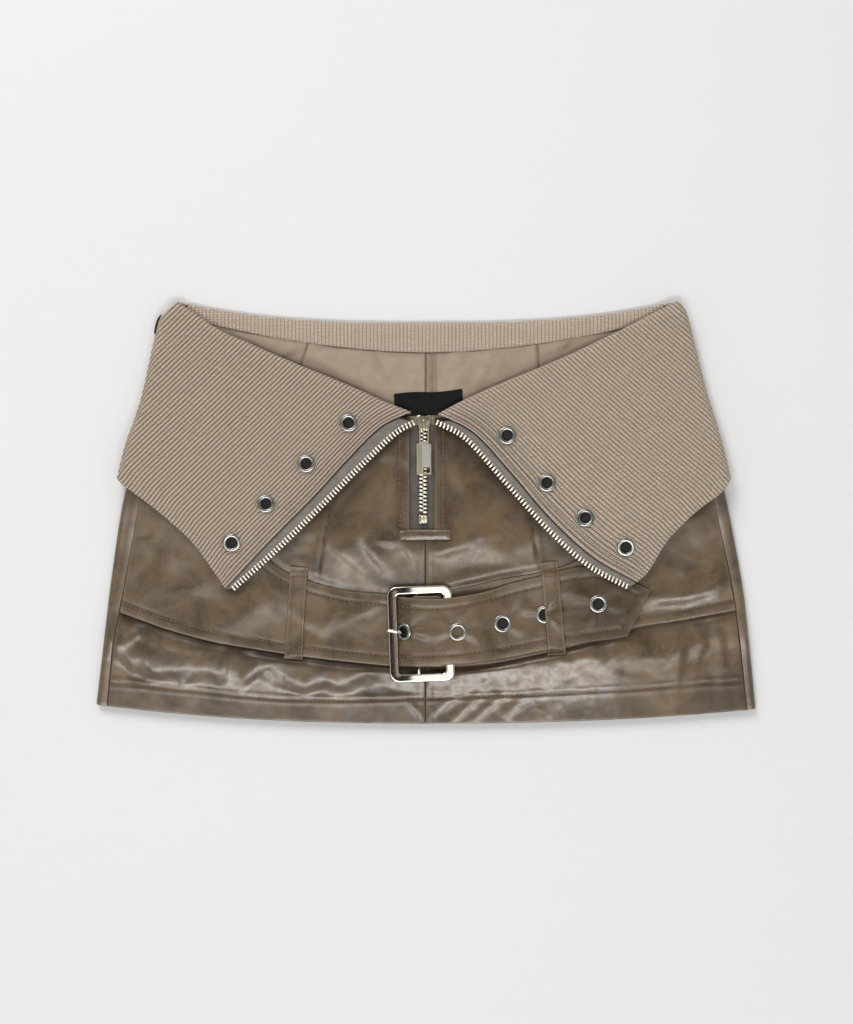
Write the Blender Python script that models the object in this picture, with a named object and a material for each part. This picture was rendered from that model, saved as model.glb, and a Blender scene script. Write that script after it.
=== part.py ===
"""A short leather skort with a wide rib-knit collar, laid flat on its back.

The garment lies on the plane z = 0 with its front up: +X runs across it, +Y from the hem to the
waist, +Z off the surface.  The collar is a tall rib band sewn to the waist.  Its front is
unzipped to the waist and turned out into two lapels, and its back hangs behind.

Tables and sizes are in millimetres, and MM turns them into metres when a mesh is made.
Every cloth piece is a wall around a middle surface: a patch between four edges in plan, at a
height given by the layers it lies on, with any folded border turned down in a quarter circle.
"""
import math
from collections import namedtuple

import bpy
import numpy as np
from mathutils import Matrix, Vector

MM = 0.001
GAP = 0.3                 # clearance between neighbouring pieces
FOLD_GAP = 1.1            # clearance where two turned borders meet in a fold

# Thickness of each cloth
RIB = 2.2
BACK_RIB = 1.8            # the same rib where it lies pressed under the garment
LEATHER = 1.2
BAND = 1.6
SHORTS = 1.0
TAPE = 0.8
LABEL = 0.4

# Height of each layer's middle surface where the garment's back touches the surface
BACK_MID = LEATHER / 2
SHORTS_BACK_MID = LEATHER + GAP + SHORTS / 2
SHORTS_FRONT_MID = SHORTS_BACK_MID + SHORTS + GAP
FRONT_MID = SHORTS_FRONT_MID + SHORTS / 2 + GAP + LEATHER / 2
BAND_ON_FRONT = LEATHER / 2 + GAP + BAND / 2
INSIDE_MID = LEATHER / 2 + 1.0
UNDER_MID = SHORTS_BACK_MID + SHORTS / 2 + 0.5 + RIB / 2
FLAP_GAP = 1.1            # air left under the lapels
FLAP_MID = FRONT_MID + LEATHER / 2 + FLAP_GAP + RIB / 2
HANGING_MID = BACK_RIB / 2

# The hanging back of the collar, and how the layers over it drop to the surface below it
HANG_CENTRE_Y, HANG_SIDE_Y, HANG_HALF = -6.0, 23.8, 215.0
DROP_START, DROP_END = 8.0, 54.0

# Sections of the skirt from waist to hem: heights at both sides and at centre front and back,
# side folds and side seams, and how sharply the front and back rows bend up to the sides
Section = namedtuple("Section", "left_y right_y front_y back_y fold_l seam_l seam_r fold_r "
                                "front_bow back_bow")
SKIRT = [
    Section(138.0, 138.0, 66.0, 112.5, -174.0, -167.0, 167.0, 174.0, 2.6, 1.8),
    Section(78.0, 78.0, 30.0, 62.0, -194.0, -187.0, 187.0, 194.0, 2.2, 1.8),
    Section(9.0, 9.0, -25.0, 2.0, -211.0, -199.5, 200.5, 209.5, 2.0, 2.0),
    Section(-47.5, -47.5, -74.0, -55.0, -220.0, -210.0, 213.0, 220.5, 2.0, 2.0),
    Section(-87.5, -87.5, -111.0, -98.0, -224.7, -217.7, 218.7, 225.4, 2.2, 2.2),
    Section(-134.4, -137.5, -147.6, -147.6, -230.3, -222.6, 224.0, 230.3, 2.3, 2.3),
]
CENTRE_X = -0.5           # centre front seam
SHORTS_INSET = 7.0        # shorts' sides inside the skirt's folds
SHORTS_HEM = 0.86         # length of the shorts as a share of the skirt's
CROTCH = 0.66
LEG_GAP = 14.0
# Places of the rows of a panel's grid, closest where the layers drop to the surface
DROP_SHARES = (0.33, 0.375, 0.42, 0.465, 0.51, 0.555, 0.6)
SKIRT_SHARES = (0.0, 0.1, 0.2, 0.28, *DROP_SHARES, 0.66, 0.72, 0.78, 0.84, 0.9, 0.95, 1.0)
SHORTS_SHARES = (0.004, 0.1, 0.2, 0.28, *DROP_SHARES, CROTCH, 0.75, SHORTS_HEM)

# Largest soft folds of the skirt's front: place, direction, half sizes and height
Fold = namedtuple("Fold", "x y angle half_length half_width height")
FOLDS = [
    Fold(-145.0, -114.0, -9.0, 42.0, 13.0, 1.5),
    Fold(112.0, -117.0, 9.0, 52.0, 14.0, 1.3),
    Fold(-52.0, -16.0, 52.0, 30.0, 13.0, 1.1),
    Fold(44.0, -22.0, -48.0, 28.0, 13.0, 1.1),
]

# Lapels: points of the fold and of the free edge, from the zip out to the side
LapelPoint = namedtuple("LapelPoint", "fold_x fold_y free_x free_y")
LEFT_LAPEL = [
    LapelPoint(-10.5, 70.0, -139.5, -53.5),
    LapelPoint(-30.0, 77.5, -150.0, -38.5),
    LapelPoint(-53.0, 88.0, -164.0, -19.6),
    LapelPoint(-84.7, 101.0, -187.0, 1.4),
    LapelPoint(-105.0, 109.5, -198.0, 9.8),
    LapelPoint(-124.6, 118.3, -206.5, 16.1),
    LapelPoint(-144.2, 127.0, -211.5, 19.6),
    LapelPoint(-173.6, 147.0, -215.6, 23.8),
]
RIGHT_LAPEL = [
    LapelPoint(8.4, 68.6, 146.5, -49.0),
    LapelPoint(27.3, 78.4, 156.0, -39.5),
    LapelPoint(50.4, 88.9, 168.0, -19.6),
    LapelPoint(74.2, 98.7, 184.0, -2.8),
    LapelPoint(97.3, 108.5, 196.0, 7.0),
    LapelPoint(121.1, 119.7, 203.0, 11.9),
    LapelPoint(143.0, 130.5, 208.5, 17.0),
    LapelPoint(175.7, 147.7, 212.8, 23.8),
]
# Zip edge and side edge of each lapel, as points from the fold to the free edge
LEFT_ZIP_EDGE = [(-10.5, 70.0), (-31.5, 58.6), (-54.6, 35.9), (-78.5, 9.8), (-107.5, -19.5),
                 (-139.5, -53.5)]
RIGHT_ZIP_EDGE = [(8.4, 68.6), (33.6, 54.3), (60.0, 26.0), (86.0, -4.3), (115.0, -30.8),
                  (146.5, -49.0)]
LEFT_SIDE = [(-173.6, 147.0), (-184.5, 137.5), (-190.5, 116.9), (-199.5, 77.7), (-209.5, 48.0),
             (-215.6, 23.8)]
RIGHT_SIDE = [(175.7, 147.7), (182.0, 137.8), (187.5, 116.9), (196.0, 84.0), (204.5, 56.0),
              (212.8, 23.8)]
FOLD_CENTRE_Y, FOLD_SLOPE = 66.0, 0.435
FOLD_ROLL, ROLL_WIDTH = 2.0, 13.0     # how far the lapels puff up along their fold
# Where the lapels climb over the hip bands and over the strap's end
BAND_CLIMB_FROM, BAND_CLIMB_RUN = 54.0, 46.0
STRAP_CLIMB_X, STRAP_CLIMB_Y, STRAP_CLIMB_RUN = 66.0, 20.0, 44.0
# Inner front layer, which starts outside the label, and the inside and top of the back
UNDER_FROM, UNDER_TO = 17.0, 160.0
UNDER_LOW_Y, UNDER_HIGH_Y = 72.5, 141.0
LABEL_LIFT = 0.7
INSIDE_HALF = 166.0
TOP_LEFT, TOP_RIGHT = -172.0, 173.0
WAIST_SEAM = 0.6          # allowance that the collar's seams take up
TOP_CENTRE_Y, TOP_RISE, TOP_HALF, TOP_BOW = 132.5, 15.0, 174.0, 2.8

# Rows of open zip teeth along the lapels, from the slider to the free corner
LEFT_TEETH = [(-8.2, 62.4), (-22.4, 53.9), (-48.3, 29.2), (-76.5, 0.6), (-105.5, -27.8),
              (-134.5, -53.5)]
RIGHT_TEETH = [(7.2, 62.6), (28.5, 50.5), (57.0, 19.0), (86.0, -13.0), (113.0, -37.0),
               (141.0, -52.5)]
CHAIN_HALF = 1.6
CHAIN_THICK = 2.2
CHAIN_START_MID = 9.3     # height of the open teeth where they leave the slider

# Hip bands: top and bottom edge at stations from the side seam inwards.  The left one goes on
# as the belt's strap to its pointed tip; the right one ends around the buckle's centre bar.
BandRow = namedtuple("BandRow", "top_x top_y bottom_x bottom_y")
LEFT_BAND = [
    BandRow(-195.5, 29.4, -213.8, -70.0),
    BandRow(-165.2, 15.4, -182.7, -81.2),
    BandRow(-133.7, -7.0, -149.8, -90.3),
    BandRow(-114.8, -28.0, -126.7, -94.5),
    BandRow(-95.9, -42.7, -98.7, -99.0),
    BandRow(-60.2, -53.9, -63.0, -103.6),
    BandRow(-28.0, -57.4, -26.6, -107.1),
    BandRow(-11.2, -59.5, -9.8, -107.1),
    BandRow(9.8, -60.2, 9.8, -106.4),
    BandRow(38.5, -56.0, 35.0, -104.3),
    BandRow(59.5, -49.7, 59.5, -100.8),
    BandRow(81.2, -44.4, 84.0, -95.9),
    BandRow(105.0, -38.5, 111.3, -91.0),
    BandRow(125.3, -39.2, 127.4, -88.9),
    BandRow(156.1, -54.6, 140.3, -86.8),
]
RIGHT_BAND = [
    BandRow(197.4, 28.0, 216.5, -68.6),
    BandRow(166.6, 15.4, 177.8, -75.6),
    BandRow(135.1, -7.0, 143.5, -81.2),
    BandRow(105.0, -33.6, 111.3, -91.3),
    BandRow(79.8, -42.0, 84.0, -98.0),
    BandRow(52.5, -46.9, 53.9, -104.3),
    BandRow(35.0, -51.1, 37.8, -106.4),
    BandRow(17.5, -54.6, 21.0, -107.8),
    BandRow(4.0, -58.5, 4.0, -107.5),
]
STRAP_OVER = 1.0          # the strap rides this far over the right band on its eyelets
LOOP_THICK = 1.4
LOOP_WIDTH = 12.0
LeatherLoop = namedtuple("LeatherLoop", "name top_x top_y bottom_x bottom_y")
LOOPS = [
    LeatherLoop("belt_loop_left", -88.5, -38.1, -92.4, -102.6),
    LeatherLoop("belt_loop_right", 85.8, -34.6, 91.2, -99.3),
]

# Buckle
BUCKLE_AT = (-3.5, -84.7)
BUCKLE_TURN = 2.1         # degrees, anticlockwise
BUCKLE_WIDTH, BUCKLE_HEIGHT = 45.0, 66.5
BUCKLE_CORNER = 6.5
BUCKLE_THICK = 3.5
SIDE_BAR, ARM_BAR = 6.0, 5.4
CENTRE_BAR_X = -2.2       # from the buckle's middle
CENTRE_BAR_R = 1.5
STRAP_TOP = FRONT_MID + LEATHER / 2 + GAP + BAND
BUCKLE_MID = STRAP_TOP + GAP + BUCKLE_THICK / 2 + CENTRE_BAR_R
CENTRE_BAR_MID = STRAP_TOP + GAP + CENTRE_BAR_R
WRAP_R = CENTRE_BAR_R + GAP + BAND / 2
# The strap's rise over its place on the skirt's front: under the side bar, up over the wrapped
# centre bar and the far bar, then down onto the right band
Stop = namedtuple("Stop", "x height")
OVER_WRAP = CENTRE_BAR_MID + WRAP_R + BAND / 2 + GAP - (STRAP_TOP - BAND)
OVER_BAR = BUCKLE_MID + BUCKLE_THICK / 2 + 5 * GAP - (STRAP_TOP - BAND)
ON_BAND = BAND + GAP + STRAP_OVER
STRAP_RISE = [Stop(-400.0, 0.0), Stop(-22.5, 0.0), Stop(-8.5, OVER_WRAP), Stop(9.0, OVER_WRAP),
              Stop(14.0, OVER_BAR), Stop(29.5, OVER_BAR), Stop(45.5, ON_BAND),
              Stop(400.0, ON_BAND)]
STRAP_COLUMNS = (-40.0, -30.0, -22.5, -15.5, -8.5, 0.0, 9.0, 14.0, 22.0, 29.5, 37.5, 45.5, 58.0,
                 70.0, 83.0, 96.0)
BUCKLE_EDGE, BUCKLE_INNER_CORNER = 0.9, 2.5
WRAP_BACK = 17.0          # length of the right band's end, turned back over the bar
PRONG_R = 1.25
PRONG_TIP_X = -27.5
PRONG_EYE_Y = -83.6
PRONG_SLOT_LEFT, PRONG_SLOT_RIGHT, PRONG_SLOT_HALF = -8.0, 4.0, 3.2
SLEEVE_THICK, SLEEVE_HALF = 1.0, 2.2

# Eyelets
HOLE_R, FLANGE_R, BACK_R, BARREL_R = 3.8, 6.1, 5.2, 4.3
FLANGE, FLANGE_BEVEL = 0.5, 0.6
EYELET_CLEAR = GAP + 0.1  # between the cloth and a flange
Eyelet = namedtuple("Eyelet", "x y")
LEFT_EYELETS = [Eyelet(-53.9, 61.9), Eyelet(-83.3, 33.6), Eyelet(-111.3, 5.6),
                Eyelet(-135.1, -21.4)]
RIGHT_EYELETS = [Eyelet(56.4, 53.2), Eyelet(84.0, 20.3), Eyelet(110.6, -4.2),
                 Eyelet(138.6, -24.5)]
STRAP_EYELETS = [Eyelet(-15.0, -83.3), Eyelet(22.0, -83.3), Eyelet(53.2, -77.7),
                 Eyelet(82.6, -71.4), Eyelet(119.7, -64.0)]
EYELET_SIDES = 16

CUTTER_SPAN = (1.0, 20.0)     # heights that a cutter through the front reaches

# Closed zip at the centre front
ZIP_X = -2.0
CHAIN_CLOSED_HALF, CHAIN_CLOSED_THICK = 2.8, 2.0
STOP_HALF, STOP_THICK = 3.1, 2.3
SLIDER_X = ZIP_X + 0.6
FLY_LEFT, FLY_RIGHT, FLY_BOTTOM = -11.5, 5.9, -12.2
ZIP_TAPE_HALF, ZIP_TAPE_TOP, ZIP_TAPE_BOTTOM = 14.0, 60.5, -16.5
SLIDER_Y, SLIDER_LENGTH, SLIDER_WIDTH, SLIDER_HEIGHT = 62.0, 11.0, 10.4, 2.8
BAIL_WIDTH, BAIL_LENGTH, BAIL_HEIGHT, BAIL_BAR = 2.4, 9.0, 2.9, 0.9
PULL_HINGE_Y = 58.6
PULL_HINGE_RISE = 1.0     # hinge axis above the slider's top
BAIL_Y = PULL_HINGE_Y + 1.8
PULL_NECK, PULL_PLATE, PULL_THICK = 6.8, 10.2, 1.0
PULL_NECK_END, PULL_END = 47.6, 25.9
PULL_TILT = 1.5           # degrees that the hanging plate leans down onto the teeth
STOP_TOP, STOP_BOTTOM = -2.1, -8.3
WELT_LEFT, WELT_RIGHT, WELT_TOP, WELT_BOTTOM = -18.4, 17.0, -12.6, -19.6
LABEL_TOP = [(-22.4, 82.2), (25.2, 85.6)]
LABEL_BOTTOM = [(-21.5, 66.5), (26.5, 68.5)]
TAB_FROM, TAB_TO, TAB_OUT = 0.2, 0.35, 1.3
TAB_LOW, TAB_HIGH = 3.2, 7.6


# ---------------------------------------------------------------- curves and heights

def ease(value):
    """Smooth step from 0 to 1."""
    clipped = np.clip(value, 0.0, 1.0)
    return clipped * clipped * (3.0 - 2.0 * clipped)


def through(rows, positions):
    """Smooth curve through evenly spaced rows, read at positions from 0 to 1."""
    table = np.asarray(rows, dtype=float)
    last = len(table) - 1
    place = np.clip(np.asarray(positions, dtype=float), 0.0, 1.0) * last
    index = np.minimum(place.astype(int), last - 1)
    part = (place - index)[:, None]
    before, after = np.maximum(index - 1, 0), np.minimum(index + 2, last)
    slope_a = (table[index + 1] - table[before]) / (index + 1 - before)[:, None]
    slope_b = (table[after] - table[index]) / (after - index)[:, None]
    squared, cubed = part ** 2, part ** 3
    return ((2 * cubed - 3 * squared + 1) * table[index] + (cubed - 2 * squared + part) * slope_a
            + (3 * squared - 2 * cubed) * table[index + 1] + (cubed - squared) * slope_b)


def lift(x, y):
    """How far the collar's hanging back raises the layers over it."""
    edge = HANG_CENTRE_Y + (HANG_SIDE_Y - HANG_CENTRE_Y) * (np.abs(x) / HANG_HALF) ** 2
    return (RIB + GAP) * ease((y - edge + DROP_END) / (DROP_END - DROP_START))


def relief(x, y):
    """Height of the skirt front's soft folds, each a rounded ridge."""
    height = np.zeros(np.shape(x))
    for fold in FOLDS:
        turn = math.radians(fold.angle)
        along = (x - fold.x) * math.cos(turn) + (y - fold.y) * math.sin(turn)
        across = (y - fold.y) * math.cos(turn) - (x - fold.x) * math.sin(turn)
        height = height + fold.height * np.exp(-(along / fold.half_length) ** 2
                                               - (across / fold.half_width) ** 2)
    return height


def back_height(x, y):
    return BACK_MID + lift(x, y)


def shorts_back_height(x, y):
    return SHORTS_BACK_MID + lift(x, y)


def shorts_front_height(x, y):
    return SHORTS_FRONT_MID + lift(x, y)


def front_height(x, y):
    return FRONT_MID + lift(x, y) + relief(x, y)


def band_top_y(x):
    """Height of the hip bands' top edges at x, level with the strap between the bands."""
    rows = [row for row in LEFT_BAND if row.top_x < -20] + RIGHT_BAND[::-1]
    return np.interp(x, [row.top_x for row in rows], [row.top_y for row in rows])


def flap_height(x, y):
    """Middle of a lapel: it rises over the hip band, over the strap, and along its own fold."""
    over_band = ease((band_top_y(x) + BAND_CLIMB_FROM - y) / BAND_CLIMB_RUN)
    over_strap = (ease((x - STRAP_CLIMB_X) / STRAP_CLIMB_RUN)
                  * ease((STRAP_CLIMB_Y - y) / STRAP_CLIMB_RUN))
    roll = FOLD_ROLL * np.exp(-(fold_distance(x, y) / ROLL_WIDTH) ** 2)
    return (FLAP_MID + lift(x, y) + relief(x, y) + (BAND + GAP) * over_band
            + (BAND + GAP + STRAP_OVER) * over_strap + roll)


def fold_distance(x, y):
    """Distance below the lapels' fold, a line that climbs from the zip to the side."""
    return (np.abs(y - FOLD_CENTRE_Y - FOLD_SLOPE * np.abs(x))
            * math.cos(math.atan(FOLD_SLOPE)))


def under_height(x, y):
    """Inner front layer of the collar, raised near the centre to clear the label."""
    return UNDER_MID + lift(x, y) + LABEL_LIFT * ease((75.0 - np.abs(x)) / 35.0)


# ---------------------------------------------------------------- meshes

def material(name, colour, roughness, metallic):
    made = bpy.data.materials.new(name)
    made.use_nodes = True
    shader = made.node_tree.nodes["Principled BSDF"]
    shader.inputs["Base Color"].default_value = (*colour, 1.0)
    shader.inputs["Roughness"].default_value = roughness
    shader.inputs["Metallic"].default_value = metallic
    return made


FINISHES = {
    "leather": ((0.25, 0.19, 0.14), 0.35, 0.0),
    "rib": ((0.40, 0.34, 0.28), 0.9, 0.0),
    "shorts": ((0.44, 0.36, 0.28), 0.85, 0.0),
    "tape": ((0.22, 0.20, 0.18), 0.8, 0.0),
    "metal": ((0.72, 0.70, 0.66), 0.2, 1.0),
    "teeth": ((0.75, 0.68, 0.52), 0.25, 1.0),
    "black": ((0.02, 0.02, 0.02), 0.7, 0.0),
    "brown": ((0.06, 0.03, 0.02), 0.7, 0.0),
}


def add_object(name, vertices, faces, finish, smooth=False):
    """One mesh object from vertices in millimetres, with its own material."""
    mesh = bpy.data.meshes.new(name)
    mesh.from_pydata([Vector(v) * MM for v in vertices], [], faces)
    mesh.validate()
    if smooth:
        mesh.shade_smooth()
        mesh.set_sharp_from_angle(angle=math.radians(40))
    made = bpy.data.objects.new(name, mesh)
    made.data.materials.append(material(name, *FINISHES[finish]))
    bpy.context.scene.collection.objects.link(made)
    return made


def combine(target, tool, operation):
    """Cut or join with another object, which becomes a hidden guide."""
    tool.hide_render = True
    tool.display_type = "WIRE"
    change = target.modifiers.new(operation.title(), "BOOLEAN")
    change.operation = operation
    change.solver = "EXACT"
    change.object = tool
    return target


def tangents(grid, axis):
    """Directions along a grid: at each point, halfway between its two neighbouring steps."""
    line = np.moveaxis(grid, axis, 0)
    step = np.diff(line, axis=0)
    step /= np.linalg.norm(step, axis=2, keepdims=True)
    along_line = np.concatenate([step[:1], step[:-1] + step[1:], step[-1:]])
    return np.moveaxis(along_line, 0, axis)


def wall(name, middle, thickness, finish):
    """Closed wall around a grid of middle points (rows, columns, 3)."""
    normal = np.cross(tangents(middle, 1), tangents(middle, 0))
    normal /= np.linalg.norm(normal, axis=2, keepdims=True)
    rows, columns = middle.shape[:2]
    flip = normal[rows // 2, columns // 2, 2] < 0
    if flip:
        normal = -normal
    outer = (middle + normal * thickness / 2).reshape(-1, 3)
    inner = (middle - normal * thickness / 2).reshape(-1, 3)
    index = np.arange(rows * columns).reshape(rows, columns)
    quads = np.stack([index[:-1, :-1], index[:-1, 1:], index[1:, 1:], index[1:, :-1]], -1)
    quads = quads.reshape(-1, 4)
    top, bottom = quads, quads[:, ::-1] + rows * columns
    border = np.concatenate([index[0, :], index[1:, -1], index[-1, -2::-1], index[-2:0:-1, 0]])
    following = np.roll(border, -1)
    rim = np.stack([following, border, border + rows * columns, following + rows * columns], -1)
    faces = np.concatenate([top, bottom, rim])
    if flip:
        faces = faces[:, ::-1]
    return add_object(name, np.concatenate([outer, inner]), faces.tolist(), finish)


def along(points, shares):
    """Smooth curve through points, read at shares of its length."""
    fine = through(points, np.linspace(0, 1, 300))
    steps = np.linalg.norm(np.diff(fine, axis=0), axis=1)
    length = np.concatenate([[0.0], np.cumsum(steps)])
    place = np.asarray(shares) * length[-1]
    return np.stack([np.interp(place, length, fine[:, k]) for k in range(fine.shape[1])], 1)


def turn_reach(radius):
    """Width in plan of a turned border, whose arc stops just short of the border it meets."""
    return math.sqrt(max(radius ** 2 - (FOLD_GAP / 2) ** 2, 0.0))


def stations(length, count, first_roll, last_roll):
    """Shares of an edge: evenly spaced, and closer together where a border is turned."""
    def turned_places(radius):
        reach = turn_reach(radius)
        full = math.asin(reach / radius)
        return [reach - radius * math.sin(full * share) for share in (1.0, 0.9, 0.62, 0.3)]

    first = turned_places(first_roll) if first_roll else []
    last = [length - place for place in turned_places(last_roll)[::-1]] if last_roll else []
    even = np.linspace(turn_reach(first_roll), length - turn_reach(last_roll), count)
    return np.concatenate([first, even, last]) / length


def turn_down(distance, radius):
    """Drop of a border that turns down along an arc, at a distance from its edge."""
    if not radius:
        return np.zeros(np.shape(distance))
    depth = np.clip(turn_reach(radius) - distance, 0.0, None)
    return radius - np.sqrt(radius ** 2 - depth ** 2)


def patch(near, far, first, last, height, rows, columns, rolls=(0, 0, 0, 0), turn=1.0):
    """Grid between four edges in plan; rolls are the turning radii of the four borders."""
    near_length = np.linalg.norm(np.diff(near, axis=0), axis=1).sum()
    rib_length = np.linalg.norm(np.asarray(near) - np.asarray(far), axis=1).mean()
    s = stations(near_length, columns, rolls[2], rolls[3])
    t = stations(rib_length, rows, rolls[0], rolls[1])
    near_line, far_line = along(near, s), along(far, s)
    first_line, last_line = along(first, t), along(last, t)
    u, v = s[None, :, None], t[:, None, None]
    corners = ((1 - u) * (1 - v) * near_line[0] + u * (1 - v) * near_line[-1]
               + (1 - u) * v * far_line[0] + u * v * far_line[-1])
    plan = ((1 - v) * near_line[None] + v * far_line[None]
            + (1 - u) * first_line[:, None] + u * last_line[:, None] - corners)
    lengths = np.linalg.norm(far_line - near_line, axis=1)[None, :]
    widths = np.linalg.norm(last_line - first_line, axis=1)[:, None]
    drop = np.maximum.reduce([
        turn_down(t[:, None] * lengths, rolls[0]) + 0 * widths,
        turn_down((1 - t[:, None]) * lengths, rolls[1]) + 0 * widths,
        turn_down(s[None, :] * widths, rolls[2]) + 0 * lengths,
        turn_down((1 - s[None, :]) * widths, rolls[3]) + 0 * lengths])
    x, y = plan[..., 0], plan[..., 1]
    return np.dstack([x, y, height(x, y) - turn * drop])


def straight(a, b, count=2):
    return [tuple(np.array(a) + (np.array(b) - np.array(a)) * k / (count - 1))
            for k in range(count)]


def strip(name, path, half_width, height, thickness, finish, steps, ends=(0, 0)):
    """Narrow piece along a path, such as a belt loop or a row of teeth."""
    line = through(path, np.linspace(0, 1, steps))
    way = np.gradient(line, axis=0)
    side = np.stack([way[:, 1], -way[:, 0]], 1) / np.linalg.norm(way, axis=1)[:, None]
    near, far = line + side * half_width, line - side * half_width
    grid = patch(near, far, [near[0], far[0]], [near[-1], far[-1]], height, 2, steps,
                 (0, 0, ends[0], ends[1]))
    return wall(name, grid, thickness, finish)


def prism(name, outline, low, high, finish):
    """Upright block with the given plan."""
    count = len(outline)
    vertices = [(x, y, low) for x, y in outline] + [(x, y, high) for x, y in outline]
    faces = [list(range(count))[::-1], list(range(count, 2 * count))]
    faces += [[k, (k + 1) % count, (k + 1) % count + count, k + count] for k in range(count)]
    return add_object(name, vertices, faces, finish)


def block(name, left, right, bottom, top, low, high, finish):
    outline = [(left, bottom), (right, bottom), (right, top), (left, top)]
    return prism(name, outline, low, high, finish)


def turned(name, profile, sides, place, finish):
    """Ring turned about its own Z from a closed profile of (radius, height)."""
    angles = [2 * math.pi * k / sides for k in range(sides)]
    vertices = [place @ Vector((r * math.cos(a), r * math.sin(a), z)) for a in angles
                for r, z in profile]
    count = len(profile)
    faces = [[k * count + j, (k + 1) % sides * count + j,
              (k + 1) % sides * count + (j + 1) % count, k * count + (j + 1) % count]
             for k in range(sides) for j in range(count)]
    return add_object(name, vertices, faces, finish, smooth=True)


def upright_at(x, y, height):
    """Place on a sheet at x, y: origin in its middle surface, Z along its normal."""
    step = 2.0
    tilt_x = (height(x + step, y) - height(x - step, y)) / (2 * step)
    tilt_y = (height(x, y + step) - height(x, y - step)) / (2 * step)
    normal = Vector((-float(tilt_x), -float(tilt_y), 1.0)).normalized()
    spin = Vector((0, 0, 1)).rotation_difference(normal).to_matrix().to_4x4()
    return Matrix.Translation((x, y, float(height(x, y)))) @ spin


# ---------------------------------------------------------------- skirt and shorts

def skirt_row(table, x, centre, bow):
    """Y of one row at x: level at the centre and bent up towards the side folds."""
    side = np.where(x < 0, table.left_y, table.right_y)
    reach = np.where(x < 0, x / table.fold_l, x / table.fold_r)
    return centre + (side - centre) * np.clip(reach, 0, 1) ** bow


def skirt_back():
    """Back panel, folded around both sides to the side seams on the front."""
    rows = []
    for row in through(SKIRT, SKIRT_SHARES):
        section = Section(*row)
        left, right = section.fold_l + LEATHER / 2, section.fold_r - LEATHER / 2
        radius = (FRONT_MID - BACK_MID) / 2
        columns = []
        for fold, seam, sign in ((left, section.seam_l - GAP / 2, 1),
                                 (right, section.seam_r + GAP / 2, -1)):
            side = []
            for x in np.linspace(seam, fold + sign * radius, 3):
                y = skirt_row(section, x, section.front_y, section.front_bow)
                side.append((x, y, front_height(x, y)))
            for angle in (60, 25, -25, -60):
                bend = math.radians(angle)
                x = fold + sign * radius * (1 - math.cos(bend))
                y = skirt_row(section, x, section.back_y, section.back_bow)
                front_side = (1 + math.sin(bend)) / 2
                z = back_height(x, y) + 2 * radius * front_side + relief(x, y) * front_side
                side.append((x, y, z))
            columns.append(side)
        middle = []
        for x in np.linspace(left + radius, right - radius, 8):
            y = skirt_row(section, x, section.back_y, section.back_bow)
            middle.append((x, y, back_height(x, y)))
        rows.append(columns[0] + middle + columns[1][::-1])
    return wall("skirt_back", np.array(rows, dtype=float), LEATHER, "leather")


def half_panel(name, side, height, thickness, finish, is_front, inset, spread, shares, across):
    """Left or right half of a skirt or shorts layer, from its side to the centre line."""
    rows = []
    for share in shares:
        section = Section(*through(SKIRT, [share])[0])
        seam, fold = ((section.seam_l, section.fold_l) if side < 0
                      else (section.seam_r, section.fold_r))
        outer = fold - side * inset if inset else seam - side * GAP / 2
        leg = ease((share - CROTCH) / (SHORTS_HEM - CROTCH)) * spread
        inner = CENTRE_X + side * (GAP / 2 + leg)
        x = np.linspace(outer, inner, across)
        centre, bow = ((section.front_y, section.front_bow) if is_front
                       else (section.back_y, section.back_bow))
        y = skirt_row(section, x, centre, bow)
        rows.append(np.stack([x, y, height(x, y)], 1))
    return wall(name, np.array(rows), thickness, finish)


def skirt_and_shorts():
    skirt_back()
    fly_top = SLIDER_Y + 30
    for word, side in (("left", -1), ("right", 1)):
        front = half_panel("skirt_front_" + word, side, front_height, LEATHER, "leather",
                           True, 0, 0, SKIRT_SHARES, 9)
        fly = block("fly_cutter_" + word, FLY_LEFT, FLY_RIGHT, FLY_BOTTOM, fly_top,
                    *CUTTER_SPAN, "tape")
        combine(front, fly, "DIFFERENCE")
        inner = half_panel("shorts_front_" + word, side, shorts_front_height, SHORTS, "shorts",
                           True, SHORTS_INSET, LEG_GAP, SHORTS_SHARES, 6)
        fly = block("tape_cutter_" + word, ZIP_X - ZIP_TAPE_HALF - GAP,
                    ZIP_X + ZIP_TAPE_HALF + GAP, ZIP_TAPE_BOTTOM - GAP, fly_top,
                    *CUTTER_SPAN, "tape")
        combine(inner, fly, "DIFFERENCE")
        half_panel("shorts_back_" + word, side, shorts_back_height, SHORTS, "shorts",
                   False, SHORTS_INSET, LEG_GAP, SHORTS_SHARES, 6)


# ---------------------------------------------------------------- collar

def top_y(x):
    """Top fold of the collar's back, lowest at the centre."""
    return TOP_CENTRE_Y + TOP_RISE * (np.abs(x) / TOP_HALF) ** TOP_BOW


def inwards(points, inset):
    """Edge points moved towards the garment's middle line by an inset in x."""
    return [(x - math.copysign(inset, x), y) for x, y in points]


def below_fold(zip_edge):
    """Zip edge of a lapel's middle surface, which starts just inside the fold."""
    return [(zip_edge[0][0], zip_edge[0][1] - RIB / 2)] + list(zip_edge[1:])


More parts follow.
